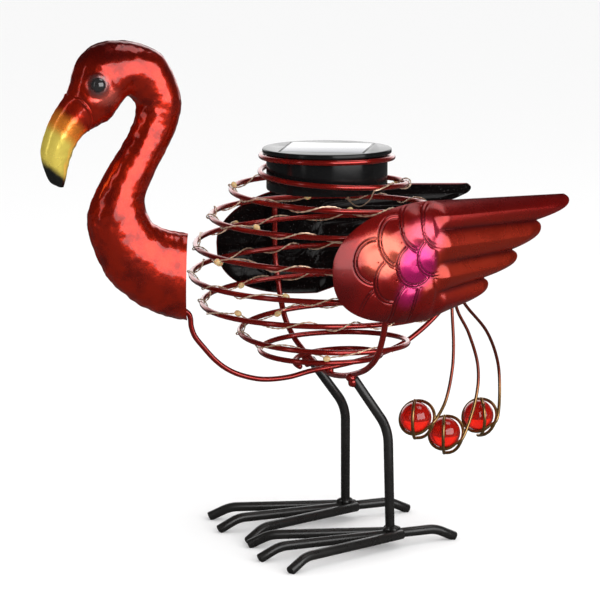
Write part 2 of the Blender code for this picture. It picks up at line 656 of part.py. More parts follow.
def tail_points(tail, root_place):
    centre = root_place + Vector(tail["marble"]) * MM
    start = root_place + Vector((tail["root"][0] * MM, tail["root"][1] * MM, -2 * MM))
    stem = [start] + [root_place + Vector(step) * MM for step in tail["stem"]]
    grow = 1.012 / math.cos(math.pi / CAGE_POINTS)
    cage = []
    for k in range(int(CAGE_TURNS * CAGE_POINTS) + 1):
        way, over = cage_place(k / CAGE_POINTS, math.radians(tail["lean"]))
        reach = MARBLE_RADIUS + TAIL_WIRE / 2 + GAP + over * (TAIL_WIRE + GAP)
        cage.append(centre + way * reach * grow)
    approach, _ = cage_place(-0.1, 0.0)
    approach *= (MARBLE_RADIUS + TAIL_WIRE) * 1.15
    return smooth_rows(stem + [centre + approach, cage[0]], 3)[:-1] + cage


def add_tail(root):
    root_place = Vector((KEEL_REAR, 0.0, KEEL_REAR_HEIGHT))
    for number, tail in enumerate(TAILS, 1):
        add_wire(f"tail_wire_{number}", tail_points(tail, root_place), TAIL_WIRE, "tail_wire_finish", root,
                 resolution=0)
        bm = bmesh.new()
        bmesh.ops.create_uvsphere(bm, u_segments=12, v_segments=8, radius=MARBLE_RADIUS)
        marble = add_object(f"tail_marble_{number}", mesh_from("tail_marble", bm), "marble_glass", root)
        marble.location = root_place + Vector(tail["marble"]) * MM


def stand_on_origin(root):
    """Moves the whole so that the origin is under the middle of its box."""
    bpy.context.view_layer.update()
    graph = bpy.context.evaluated_depsgraph_get()
    corners = []
    for obj in root.children:
        if obj.hide_render:
            continue
        shown = obj.evaluated_get(graph)
        mesh = shown.to_mesh()
        corners += [shown.matrix_world @ vert.co for vert in mesh.vertices]
        shown.to_mesh_clear()
    low = [min(corner[k] for corner in corners) for k in range(3)]
    high = [max(corner[k] for corner in corners) for k in range(3)]
    root.location = (-(low[0] + high[0]) / 2, -(low[1] + high[1]) / 2, -low[2])
    print("size", [round(high[k] - low[k], 4) for k in range(3)], "moved by", list(root.location))


def main():
    clear_scene()
    root = bpy.data.objects.new("garden_light", None)
    bpy.context.scene.collection.objects.link(root)
    add_coil(root)
    add_keel(root)
    add_hoop(root)
    add_lid(root)
    add_light_string(root)
    add_neck(root)
    add_eyes(root)
    add_wing("left_wing", -1, 0.0, root)
    add_wing("right_wing", 1, RIGHT_WING_LOWER, root)
    for word, side in (("left", -1), ("right", 1)):
        add_leg(word, side, root)
        add_foot(word, side, root)
    add_tail(root)
    stand_on_origin(root)


main()
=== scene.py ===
# The looks of a solar garden light: a wading bird with a spiral wire body
import math

import bpy
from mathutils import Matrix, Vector, noise


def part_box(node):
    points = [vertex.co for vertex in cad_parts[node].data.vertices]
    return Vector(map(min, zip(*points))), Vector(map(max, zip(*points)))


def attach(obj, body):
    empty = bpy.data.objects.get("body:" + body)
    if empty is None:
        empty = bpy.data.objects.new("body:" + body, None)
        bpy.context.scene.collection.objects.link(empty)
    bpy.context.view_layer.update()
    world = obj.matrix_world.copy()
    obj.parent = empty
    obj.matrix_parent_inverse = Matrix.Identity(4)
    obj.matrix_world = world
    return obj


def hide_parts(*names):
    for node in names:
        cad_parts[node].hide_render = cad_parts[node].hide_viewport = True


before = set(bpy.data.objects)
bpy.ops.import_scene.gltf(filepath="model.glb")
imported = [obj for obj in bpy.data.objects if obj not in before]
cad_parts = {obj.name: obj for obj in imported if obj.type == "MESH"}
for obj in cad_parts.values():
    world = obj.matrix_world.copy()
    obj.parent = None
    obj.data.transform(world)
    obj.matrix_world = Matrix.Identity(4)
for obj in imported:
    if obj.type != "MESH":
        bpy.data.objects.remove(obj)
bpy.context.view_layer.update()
mm = 0.001


def boxMiddle(node):
    low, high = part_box(node)
    return (low + high) / 2


axisX = boxMiddle("solar_lid").x        # the spiral stands round this upright line


def place(x, y, z):        # millimetres from the spiral's middle line, and from the ground
    return Vector((axisX + x * mm, y * mm, z * mm))


# Modelling helpers

def pickOnly(obj):
    bpy.ops.object.select_all(action="DESELECT")
    obj.select_set(True)
    bpy.context.view_layer.objects.active = obj


def smoothStep(value, low, high):
    share = min(1.0, max(0.0, (value - low) / (high - low)))
    return share * share * (3 - 2 * share)


def bell(value, width):
    return math.exp(-((value / width) ** 2))


def readTable(rows, at):        # a smooth curve through rows of (place, value, ...)
    last = len(rows) - 2
    i = max(k for k in range(last + 1) if rows[k][0] <= at or k == 0)
    a, b = rows[i], rows[i + 1]
    before, after = rows[max(i - 1, 0)], rows[min(i + 2, last + 1)]
    span = b[0] - a[0]
    t = (at - a[0]) / span
    values = []
    for k in range(1, len(a)):
        slopeA = (b[k] - before[k]) / (b[0] - before[0]) * span
        slopeB = (after[k] - a[k]) / (after[0] - a[0]) * span
        values.append(
            a[k] * (2 * t**3 - 3 * t**2 + 1) + slopeA * (t**3 - 2 * t**2 + t)
            + b[k] * (3 * t**2 - 2 * t**3) + slopeB * (t**3 - t**2)
        )
    return values


def smoothLine(rows, steps):        # the same through plain points, with this many steps between two
    table = [(i, *row) for i, row in enumerate(rows)]
    count = (len(rows) - 1) * steps
    return [Vector(readTable(table, k / steps)) for k in range(count)] + [Vector(rows[-1])]


softEnd = [(0.0, 0.5), (0.06, 0.8), (0.18, 0.96)]        # (distance in diameters, share of the radius)
sawnEnd = [(0.0, 0.84), (0.02, 0.93), (0.07, 0.99)]


def bendWire(name, points, diameter, bevelSteps=5, radii=None, ends=softEnd):
    curve = bpy.data.curves.new(name, "CURVE")
    curve.dimensions = "3D"
    curve.bevel_depth = diameter / 2
    curve.bevel_resolution = bevelSteps
    curve.use_fill_caps = True
    points = [Vector(point) for point in points]
    radii = list(radii or [1.0] * len(points))
    for end, step in ((-1, -1), (0, 1)):
        tip, inward = points[end], (points[end + step] - points[end]).normalized()
        newPoints = [tip + inward * diameter * share for share, _ in ends]
        newRadii = [size for _, size in ends]
        if step == 1:
            points[0:1], radii[0:1] = newPoints, newRadii
        else:
            points[-1:], radii[-1:] = newPoints[::-1], newRadii[::-1]
    spline = curve.splines.new("POLY")
    spline.points.add(len(points) - 1)
    for i, point in enumerate(points):
        spline.points[i].co = (*point, 1.0)
        spline.points[i].radius = radii[i]
    obj = bpy.data.objects.new(name, curve)
    bpy.context.scene.collection.objects.link(obj)
    pickOnly(obj)
    bpy.ops.object.convert(target="MESH")
    return bpy.context.object


def bendGrid(name, columns, rows, placeOf):        # a grid whose corners are moved to placeOf(column, row)
    bpy.ops.mesh.primitive_grid_add(x_subdivisions=columns, y_subdivisions=rows, size=2.0)
    obj = bpy.context.object
    obj.name = name
    for vert in obj.data.vertices:
        column, row = round((vert.co.x + 1) / 2 * columns), round((vert.co.y + 1) / 2 * rows)
        vert.co = placeOf(column, row)
    return obj


def closeMesh(obj, mergeAt=1e-6):
    pickOnly(obj)
    bpy.ops.object.mode_set(mode="EDIT")
    bpy.ops.mesh.select_all(action="SELECT")
    bpy.ops.mesh.remove_doubles(threshold=mergeAt)
    bpy.ops.mesh.dissolve_degenerate(threshold=mergeAt)
    bpy.ops.mesh.normals_make_consistent(inside=False)
    bpy.ops.object.mode_set(mode="OBJECT")


def applyModifier(obj, kind, **settings):
    modifier = obj.modifiers.new(kind.title(), kind)
    for key, value in settings.items():
        setattr(modifier, key, value)
    pickOnly(obj)
    bpy.ops.object.modifier_apply(modifier=modifier.name)


def joinAll(objects):
    bpy.ops.object.select_all(action="DESELECT")
    for obj in objects:
        obj.select_set(True)
    bpy.context.view_layer.objects.active = objects[0]
    bpy.ops.object.join()
    return bpy.context.object


def finishPiece(obj, name, surfaces, replaced=(), smoothAngle=40.0):
    pickOnly(obj)
    bpy.ops.object.transform_apply(location=True, rotation=True, scale=True)
    bpy.ops.object.shade_smooth_by_angle(angle=math.radians(smoothAngle))
    obj.name = obj.data.name = name
    for surface in surfaces:
        obj.data.materials.append(surface)
    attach(obj, "root")
    if replaced:
        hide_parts(*replaced)
    return obj


# Material helpers

def addNode(tree, kind, inputs=None, **settings):
    node = tree.nodes.new(kind)
    for key, value in settings.items():
        setattr(node, key, value)
    for key, value in (inputs or {}).items():
        if isinstance(value, bpy.types.NodeSocket):
            tree.links.new(value, node.inputs[key])
        else:
            node.inputs[key].default_value = value
    return node


def mapRange(tree, value, fromMin, fromMax, toMin=0.0, toMax=1.0, kind="LINEAR"):
    inputs = {"Value": value, "From Min": fromMin, "From Max": fromMax, "To Min": toMin, "To Max": toMax}
    return addNode(tree, "ShaderNodeMapRange", inputs, interpolation_type=kind).outputs[0]


def plainMath(tree, operation, *values):
    return addNode(tree, "ShaderNodeMath", dict(enumerate(values)), operation=operation).outputs[0]


def vectorMath(tree, operation, *values):
    node = addNode(tree, "ShaderNodeVectorMath", dict(enumerate(values)), operation=operation)
    return node.outputs["Value" if operation in ("LENGTH", "DOT_PRODUCT") else "Vector"]


def noiseTexture(tree, where, scale, detail, roughness=0.5):
    inputs = {"Vector": where, "Scale": scale, "Detail": detail, "Roughness": roughness}
    return addNode(tree, "ShaderNodeTexNoise", inputs).outputs["Fac"]


def newGroup(name, inputs, outputs):
    tree = bpy.data.node_groups.new(name, "ShaderNodeTree")
    for inOut, sockets in (("INPUT", inputs), ("OUTPUT", outputs)):
        for socketName, kind, start in sockets:
            socket = tree.interface.new_socket(socketName, in_out=inOut, socket_type=f"NodeSocket{kind}")
            if start is not None:
                socket.default_value = start
    return tree, tree.nodes.new("NodeGroupInput"), tree.nodes.new("NodeGroupOutput")


speckScale = 1900.0        # dust specks in a metre


def makePaintSkin():        # what brushed or sprayed paint does: orange peel, slow mottling and dust specks
    tree, start, end = newGroup(
        "paintSkin",
        [("Place", "Vector", None), ("Peel size", "Float", 1.5), ("Mottle size", "Float", 18.0),
         ("Dust", "Float", 0.3)],
        [("Height", "Float", None), ("Mottle", "Float", None), ("Specks", "Float", None)],
    )

    def perMetre(size):        # a pattern's size in millimetres as a texture scale
        return plainMath(tree, "DIVIDE", 1 / mm, start.outputs[size])

    where, dust = start.outputs["Place"], start.outputs["Dust"]
    specks = noiseTexture(tree, where, speckScale, 1.0)
    sharp = mapRange(tree, specks, mapRange(tree, dust, 0.0, 1.0, 0.78, 0.60), 0.82)
    found = {
        "Height": noiseTexture(tree, where, perMetre("Peel size"), 2.0, 0.45),
        "Mottle": noiseTexture(tree, where, perMetre("Mottle size"), 3.0, 0.55), "Specks": sharp,
    }
    for name, value in found.items():
        tree.links.new(value, end.inputs[name])
    return tree


def makeSprayedSpot():        # an airbrushed patch: full inside its radius, fading out with a grainy edge
    tree, start, end = newGroup(
        "sprayedSpot",
        [("Place", "Vector", None), ("Middle", "Vector", (0.0, 0.0, 0.0)),
         ("Stretch", "Vector", (1.0, 1.0, 1.0)), ("Radius", "Float", 10.0), ("Fade", "Float", 6.0)],
        [("Mask", "Float", None)],
    )
    where, radius = start.outputs["Place"], start.outputs["Radius"]
    scaled = vectorMath(tree, "DIVIDE", vectorMath(tree, "SUBTRACT", where, start.outputs["Middle"]),
                        start.outputs["Stretch"])
    grain, distance = noiseTexture(tree, where, 0.55, 4.0), vectorMath(tree, "LENGTH", scaled)
    grainy = plainMath(tree, "MULTIPLY_ADD", grain, 4.0, distance)
    far = plainMath(tree, "ADD", radius, start.outputs["Fade"])
    tree.links.new(mapRange(tree, grainy, far, radius, kind="SMOOTHSTEP"), end.inputs["Mask"])
    return tree


paintSkin = makePaintSkin()
sprayedSpot = makeSprayedSpot()


class Finish:        # one material: its tree, its shader, and the paint skin that most of them share
    def __init__(self, name, facts):
        self.material = bpy.data.materials.new(name)
        self.material.use_nodes = True
        self.tree = self.material.node_tree
        self.shader = self.tree.nodes["Principled BSDF"]
        self.coordinates = addNode(self.tree, "ShaderNodeTexCoord")
        self.place = self.coordinates.outputs["Object"]
        inputs = {"Place": self.place, "Peel size": facts["peelSize"], "Mottle size": facts["mottleSize"],
                  "Dust": facts["dust"]}
        self.skin = addNode(self.tree, "ShaderNodeGroup", inputs, node_tree=paintSkin)
        for key, value in facts["shader"].items():
            self.shader.inputs[key].default_value = value
        self.facts = facts

    def mix(self, first, second, amount):
        inputs = {0: amount}
        for socket, value in ((6, first), (7, second)):
            inputs[socket] = value if isinstance(value, bpy.types.NodeSocket) else (*value, 1.0)
        return addNode(self.tree, "ShaderNodeMix", inputs, data_type="RGBA").outputs[2]

    def spot(self, where, middle, radius, fade, stretch=(1.0, 1.0, 1.0)):
        inputs = {"Place": where, "Middle": middle, "Stretch": stretch, "Radius": radius, "Fade": fade}
        return addNode(self.tree, "ShaderNodeGroup", inputs, node_tree=sprayedSpot).outputs["Mask"]

    def math(self, operation, *values):
        return plainMath(self.tree, operation, *values)

    def finish(self, colour):
        tree, shader = self.tree, self.shader
        tree.links.new(colour, shader.inputs["Base Color"])
        spread = mapRange(tree, self.skin.outputs["Mottle"], 0.3, 0.7, *self.facts["roughness"])
        dusty = self.math("MULTIPLY_ADD", self.skin.outputs["Specks"], 0.25, spread)
        tree.links.new(dusty, shader.inputs["Roughness"])
        bump = addNode(tree, "ShaderNodeBump", {
            "Height": self.skin.outputs["Height"], "Distance": self.facts["peelDepth"] * mm, "Strength": 1.0,
        })
        tree.links.new(bump.outputs[0], shader.inputs["Normal"])
        return self.material


def plainFinish(name, facts):        # a finish that varies between two colours and catches a little dust
    finish = Finish(name, facts)
    colour = finish.mix(facts["colour"], facts["otherColour"], finish.skin.outputs["Mottle"])
    colour = finish.mix(colour, facts.get("dustColour", facts["otherColour"]), finish.skin.outputs["Specks"])
    return finish.finish(colour)


wireEnamel = plainFinish("coil_enamel", {
    "colour": (0.48, 0.018, 0.010), "otherColour": (0.28, 0.008, 0.005), "dustColour": (0.4, 0.12, 0.08),
    "roughness": (0.20, 0.32), "peelSize": 2.2, "peelDepth": 0.03, "mottleSize": 16.0, "dust": 0.2,
    "shader": {"Metallic": 0.86, "Coat Weight": 1.0, "Coat Roughness": 0.08},
})
print("shared finishes ready")


# The spiral body

coil = {
    "wire": 3.5, "ringRadius": 42.95, "widest": 89.0, "squash": 0.02, "top": 255.5, "bottom": 116.7,
    "startAngle": 156.6, "pointsPerTurn": 60,
    # turns from the top ring, share of the swell to the widest turn, share of the height
    "rows": [
        (-0.25, 0.0, 1.0), (0.0, 0.0, 1.0), (0.5, 0.0, 0.992), (1.0, 0.01, 0.928), (1.5, 0.20, 0.868),
        (2.0, 0.42, 0.845), (2.5, 0.52, 0.760), (3.0, 0.71, 0.722), (3.5, 0.92, 0.662), (4.0, 0.935, 0.586),
        (4.5, 1.0, 0.516), (5.0, 1.0, 0.440), (5.5, 0.88, 0.379), (6.0, 0.85, 0.303), (6.5, 0.54, 0.261),
        (7.0, 0.31, 0.165), (7.5, 0.23, 0.113), (8.0, 0.02, 0.073), (8.5, -0.16, 0.056), (9.07, -0.53, 0.0),
    ],
}


def coilPlace(turn, outward=0.0, rise=0.0):
    swell, lift = readTable(coil["rows"], turn)
    radius = coil["ringRadius"] + swell * (coil["widest"] - coil["ringRadius"]) + outward
    angle = math.radians(coil["startAngle"]) + turn * math.tau
    height = coil["bottom"] + lift * (coil["top"] - coil["bottom"]) + rise
    return place(radius * math.cos(angle), radius * math.sin(angle) * (1 - coil["squash"]), height)


def makeCoil():
    first, last = coil["rows"][0][0], coil["rows"][-1][0]
    count = round((last - first) * coil["pointsPerTurn"])
    points = [coilPlace(first + (last - first) * k / count) for k in range(count + 1)]
    wire = bendWire("spiral", points, coil["wire"] * mm, 6)
    finishPiece(wire, "spiral", [wireEnamel], ["coil_body"])
    print("spiral made")


# The keel wire under the spiral, and the hoop across it

keel = {
    "wire": 3.5, "seat": 112.9, "rear": (92.8, 174.0), "rearLean": (-1.5, -18.0),
    "neckFloor": 157.25, "neckEnd": -98.5,
    "front": [(-13.0, 12.5), (-5.0, 5.4), (0.9, 1.3), (2.75, -2.2), (3.4, -8.0), (5.9, -14.6)],
    "middle": [(-0.975, 22.3), (-0.885, 13.3), (-0.785, 6.3), (-0.665, 1.3), (-0.505, -2.2), (-0.31, -2.2),
               (-0.13, 0.6), (0.09, 2.6), (0.27, 5.0), (0.44, 8.2), (0.62, 13.8), (0.78, 22.5), (0.92, 33.0)],
}
hoop = {
    "wire": 3.9, "x": 2.0, "top": 210.0, "bottom": 110.9, "halfWidth": 92.12,
    "rows": [(0.0, 0.0), (0.24, 0.025), (0.46, 0.078), (0.65, 0.145), (0.80, 0.243), (0.885, 0.365),
             (0.945, 0.510), (0.99, 0.640), (1.0, 0.74), (1.0, 1.0)],
}


def keelPoints():
    rearX, rearZ = keel["rear"]
    rows = [(keel["neckEnd"] + x, keel["neckFloor"] + rise) for x, rise in keel["front"]]
    rows += [(share * coil["widest"], keel["seat"] + rise) for share, rise in keel["middle"]]
    rows += [(rearX + keel["rearLean"][0], rearZ + keel["rearLean"][1]), keel["rear"]]
    return [place(x, 0.0, z) for x, z in smoothLine(rows, 8)]


def hoopPoints():
    height = hoop["top"] - hoop["bottom"]
    side = [(share * hoop["halfWidth"], hoop["bottom"] + lift * height) for share, lift in hoop["rows"]]
    rows = [(-y, z) for y, z in side[:0:-1]] + side
    return [place(hoop["x"], y, z) for y, z in smoothLine(rows, 8)]


def makeKeelAndHoop():
    for name, node, facts, points, bevelSteps in (("keel", "keel_wire", keel, keelPoints(), 5),
                                                  ("hoop", "wing_hoop", hoop, hoopPoints(), 6)):
        wire = bendWire(name, points, facts["wire"] * mm, bevelSteps)
        finishPiece(wire, name, [wireEnamel], [node])
    print("keel and hoop made")


makeCoil()
makeKeelAndHoop()


# The neck and head: two pressed halves with a seam, hollow from the open end to the beak

neck = {
    "end": -98.5, "wall": 1.2, "endCut": 0.45, "hollowTo": 15, "sidePoints": 42,
    "seamHalf": 0.35, "seamFoot": 0.9, "seamHeight": 0.4,
    "dentSize": 4.6, "dentDepth": 1.15, "rippleSize": 6.5, "rippleDepth": 0.10,
    "waveSize": 17.0, "waveDepth": 0.35,
    "steps": {12: 26, 13: 30, 14: 30, 15: 20}, "usualSteps": 15, "innerSteps": 3,
    # back edge and front edge, both x from the neck's end and height, then the half depth
    "rows": [
        (1.6, 209.8, 0.6, 153.8, 15.0), (-10.5, 212.0, -21.5, 161.0, 15.0),
        (-18.5, 215.0, -39.5, 172.0, 14.5), (-24.5, 220.5, -54.5, 188.0, 14.0),
        (-28.0, 232.0, -65.5, 219.0, 13.0), (-25.5, 242.0, -59.5, 241.0, 12.0),
        (-19.5, 254.0, -43.5, 266.0, 11.0), (-12.5, 266.0, -36.5, 277.5, 10.5),
        (-5.0, 282.0, -32.8, 288.0, 10.5), (-3.2, 298.0, -32.6, 294.5, 11.0),
        (-13.5, 322.0, -36.5, 298.5, 12.0), (-29.5, 331.5, -39.5, 299.3, 13.0),
        (-45.5, 334.2, -42.5, 296.5, 14.0), (-61.5, 331.3, -46.5, 290.5, 14.5),
        (-71.5, 321.5, -51.5, 285.0, 13.5), (-77.5, 304.5, -64.5, 279.0, 10.5),
        (-88.5, 287.5, -72.5, 271.0, 8.5), (-95.5, 267.5, -77.5, 260.0, 6.5),
        (-91.0, 249.5, -80.0, 249.0, 4.0), (-84.0, 244.0, -81.5, 243.8, 1.2),
    ],
}
face = {        # the same measures: from the neck's end, and height
    "eyeRow": 13.85, "eyeAngle": 79.0, "eyeRadius": 4.7, "eyeRise": 3.4, "lidRadius": 5.7, "lidHeight": 0.22,
    "lidWidth": 0.8, "hollowDepth": 0.5, "hollowRadius": 8.2, "hollowWidth": 2.0, "sideFrom": 5.0,
    # the crease at the beak's root: an arc, the part of it that is pressed, and the groove beside it
    "creaseMiddle": (-84.5, 283.0), "creaseRadius": 19.25, "creaseHeight": 0.65, "creaseWidth": 0.55,
    "creaseFrom": (-88.5, 279.0), "grooveShare": 0.8, "grooveAway": 1.4, "grooveWidth": 0.7,
}


def neckRow(at):
    table = [(i, *row) for i, row in enumerate(neck["rows"])]
    backX, backZ, frontX, frontZ, depth = readTable(table, min(at, len(neck["rows"]) - 1.0))
    back, front = Vector((backX, 0.0, backZ)), Vector((frontX, 0.0, frontZ))
    return (back + front) / 2, (back - front) / 2, depth


def ringAngles(depth):        # round from the back edge, with close steps beside both seams
    foot = math.asin(min(0.95, neck["seamFoot"] / depth))
    near = math.asin(min(0.90, neck["seamHalf"] / depth))
    count = neck["sidePoints"]
    side = [(0.0, 1.0), (near, 1.0)]
    side += [(foot + (math.pi - 2 * foot) * k / count, 0.0) for k in range(count + 1)]
    side += [(math.pi - near, 1.0)]
    return side + [(angle + math.pi, seam) for angle, seam in side]


def eyePlace(row=None, angle=None):        # on the skin of the side that faces +Y
    middle, reach, depth = neckRow(row or face["eyeRow"])
    angle = angle or math.radians(face["eyeAngle"])
    point = middle + reach * math.cos(angle)
    return Vector((point.x, depth * math.sin(angle), point.z))


def eyeNormal():
    row, angle, step = face["eyeRow"], math.radians(face["eyeAngle"]), 0.05
    along = eyePlace(row + step, angle) - eyePlace(row - step, angle)
    out = along.cross(eyePlace(row, angle + step) - eyePlace(row, angle - step)).normalized()
    return out * math.copysign(1.0, out.y)


def faceRelief(point):
    middleX, middleZ = face["creaseMiddle"]
    fromX, fromZ = face["creaseFrom"]
    relief = 0.0
    if point.x > fromX and point.z > fromZ:
        crease = math.hypot(point.x - middleX, point.z - middleZ) - face["creaseRadius"]
        groove = face["grooveShare"] * bell(crease - face["grooveAway"], face["grooveWidth"])
        relief += face["creaseHeight"] * (bell(crease, face["creaseWidth"]) - groove)
    if abs(point.y) > face["sideFrom"]:
        eye = eyePlace()
        fromEye = math.hypot(point.x - eye.x, point.z - eye.z)
        relief += face["lidHeight"] * bell(fromEye - face["lidRadius"], face["lidWidth"])
        relief -= face["hollowDepth"] * bell(fromEye - face["hollowRadius"], face["hollowWidth"])
    return relief


def hammering(point, along):        # dents from the hammer, closest and deepest on the front edge
    edgeShare = max(0.0, -along) ** 1.5 + 0.5 * max(0.0, along) ** 4
    cell = noise.voronoi(point / neck["dentSize"])[0][0]
    dents = neck["dentDepth"] * (0.16 + 0.84 * edgeShare) * (min(cell, 0.75) ** 2 - 0.3)
    ripple = neck["rippleDepth"] * noise.noise(point / neck["rippleSize"])
    return dents + ripple + neck["waveDepth"] * noise.noise(point / neck["waveSize"])


def makeNeck():
    inner, last = neck["innerSteps"], len(neck["rows"]) - 1
    columns = 2 * (neck["sidePoints"] + 4)
    stations = [(k / inner, neck["wall"]) for k in range(neck["hollowTo"] * inner, -1, -1)]
    for i in range(last):
        steps = neck["steps"].get(i, neck["usualSteps"])
        stations += [(i + k / steps, 0.0) for k in range(steps)]
    stations.append((last, 0.0))
    rings = {}

    def stationRing(row):
        at, wall = stations[row]
        middle, reach, depth = neckRow(at)
        if row in (0, len(stations) - 1):
            return [middle] * columns
        ring = []
        length = reach.length
        for angle, seam in ringAngles(depth):
            along, across = math.cos(angle), math.sin(angle)
            normal = (reach / length * along / length + Vector((0, 1, 0)) * across / depth).normalized()
            point = middle + reach * along + Vector((0, depth * across, 0))
            if wall:
                point -= normal * wall
            else:
                fade = smoothStep(last - at, 0.0, 3.0) * smoothStep(at, 0.0, 0.25)
                point += normal * (hammering(point, along) * fade + faceRelief(point))
                point += normal * seam * neck["seamHeight"] * (0.4 + 0.6 * fade)
            if at < 1.0:
                point.x -= neck["endCut"] * abs(point.y) * (1 - at)
            ring.append(point)
        return ring

    def neckPlace(column, row):
        if row not in rings:
            rings[row] = stationRing(row)
        point = rings[row][column % len(rings[row])]
        return place(neck["end"] + point.x, point.y, point.z)

    shell = bendGrid("neck", columns, len(stations) - 1, neckPlace)
    closeMesh(shell)
    finishPiece(shell, "head_and_neck_shell", [makeNeckPaint()], ["head_and_neck"], 60.0)
    print("neck and head made")


neckPaint = {
    "red": (0.58, 0.022, 0.004), "maroon": (0.12, 0.003, 0.002), "orange": (1.0, 0.28, 0.03),
    "yellow": (0.90, 0.70, 0.12), "black": (0.012, 0.011, 0.010), "ring": (0.16, 0.12, 0.12),
    "cheek": (0.78, 0.16, 0.12),
    # along the beak from its root: where orange and yellow begin, and where black begins
    "beakDirection": (0.65, 0.0, 0.76), "orangeFrom": (171.0, 163.5), "yellowFrom": (161.0, 152.5),
    "blackFrom": (139.5, 134.5), "beakAhead": (-63.0, -68.0), "throat": 238.0, "wobble": 5.0,
    # painted shade: the crown darker maroon, since its top faces the dark room above
    "crown": ((-50.0, 0.0, 338.0), 12.0, 22.0, (2.2, 1.4, 1.0)),
    # colour, offset from the eye, radius, fade, stretch, strength
    "aroundEye": [("cheek", (-6.0, 0.0, -7.5), 4.0, 6.0, (1.6, 1.5, 1.0), 0.7),
                  ("ring", (0.0, 0.0, 0.0), 6.0, 4.5, (1.0, 1.0, 1.0), 0.9),
                  ("black", (0.0, 0.0, 0.0), 3.5, 2.2, (1.0, 1.0, 1.0), 1.0)],
    "roughness": (0.18, 0.30), "peelSize": 2.6, "peelDepth": 0.11, "mottleSize": 10.0, "dust": 0.2,
    "metallic": (0.86, 0.62), "shader": {"Coat Weight": 0.75, "Coat Roughness": 0.07},
}


def makeNeckPaint():
    facts = neckPaint
    finish = Finish("neck_paint", facts)
    tree = finish.tree
    start = place(neck["end"], 0.0, 0.0) / mm
    local = addNode(tree, "ShaderNodeMapping", {"Vector": finish.place, "Location": tuple(-start),
                                                "Scale": (1 / mm,) * 3}, vector_type="POINT").outputs[0]
    mottle = finish.skin.outputs["Mottle"]
    red = finish.mix(facts["red"], facts["maroon"], mapRange(tree, mottle, 0.44, 0.68, 0.0, 0.65))
    # painted shade: darker maroon over the crown
    crown = finish.spot(local, *facts["crown"])
    red = finish.mix(red, facts["maroon"], finish.math("MULTIPLY", crown, 0.85))
    along = vectorMath(tree, "DOT_PRODUCT", local, facts["beakDirection"])
    wobble = finish.math("MULTIPLY_ADD", mottle, facts["wobble"], along)
    wobble = finish.math("SUBTRACT", wobble, facts["wobble"] / 2)
    parts = addNode(tree, "ShaderNodeSeparateXYZ", {"Vector": local})
    beyondCrease = mapRange(tree, parts.outputs["X"], *facts["beakAhead"], kind="SMOOTHSTEP")
    aboveThroat = finish.math("GREATER_THAN", parts.outputs["Z"], facts["throat"])
    onBeak = finish.math("MULTIPLY", beyondCrease, aboveThroat)
    colour = red
    for name in ("orange", "yellow", "black"):
        share = mapRange(tree, wobble, *facts[name + "From"], kind="SMOOTHSTEP")
        colour = finish.mix(colour, facts[name], finish.math("MULTIPLY", share, onBeak))
    painted, bright = facts["metallic"]        # candy red over steel, and the beak's denser colours
    onColours = mapRange(tree, wobble, facts["orangeFrom"][0], facts["yellowFrom"][1])
    metal = finish.math("MULTIPLY_ADD", finish.math("MULTIPLY", onColours, onBeak), bright - painted, painted)
    tree.links.new(metal, finish.shader.inputs["Metallic"])
    eye = eyePlace()
    eyeHere = Vector((abs(eye.x), abs(eye.y), eye.z))
    sides = vectorMath(tree, "ABSOLUTE", local)
    for name, offset, radius, fade, stretch, strength in facts["aroundEye"]:
        patch = finish.spot(sides, eyeHere + Vector(offset), radius, fade, stretch)
        colour = finish.mix(colour, facts[name], finish.math("MULTIPLY", patch, strength))
    return finish.finish(colour)


eyeFacts = {
    "colour": (0.008, 0.008, 0.009), "otherColour": (0.02, 0.018, 0.018), "roughness": (0.03, 0.08),
    "peelSize": 1.2, "peelDepth": 0.004, "mottleSize": 6.0, "dust": 0.1,
    "shader": {"Metallic": 0.0, "Coat Weight": 1.0, "Coat Roughness": 0.02, "Specular IOR Level": 0.7},
}


def makeEyes():
    gloss = plainFinish("eye_gloss", eyeFacts)
    for name, node, side in (("left_eye_bead", "left_eye", -1), ("right_eye_bead", "right_eye", 1)):
        bpy.ops.mesh.primitive_uv_sphere_add(segments=48, ring_count=24, radius=face["eyeRadius"] * mm)
        eye = bpy.context.object
        bpy.ops.object.mode_set(mode="EDIT")
        bpy.ops.mesh.bisect(plane_co=(0, 0, -0.8 * mm), plane_no=(0, 0, -1), use_fill=True, clear_outer=True)
        bpy.ops.mesh.select_all(action="SELECT")
        bpy.ops.transform.resize(value=(1, 1, face["eyeRise"] / face["eyeRadius"]))
        bpy.ops.object.mode_set(mode="OBJECT")
        spot, out = eyePlace(), eyeNormal()
        eye.location = place(neck["end"] + spot.x, side * spot.y, spot.z)
        eye.rotation_euler = Vector((out.x, side * out.y, out.z)).to_track_quat("Z", "Y").to_euler()
        finishPiece(eye, name, [gloss], [node])
    print("eyes made")


makeNeck()
makeEyes()


# The wings: cupped sheets with scales on the shoulder and four folded feathers

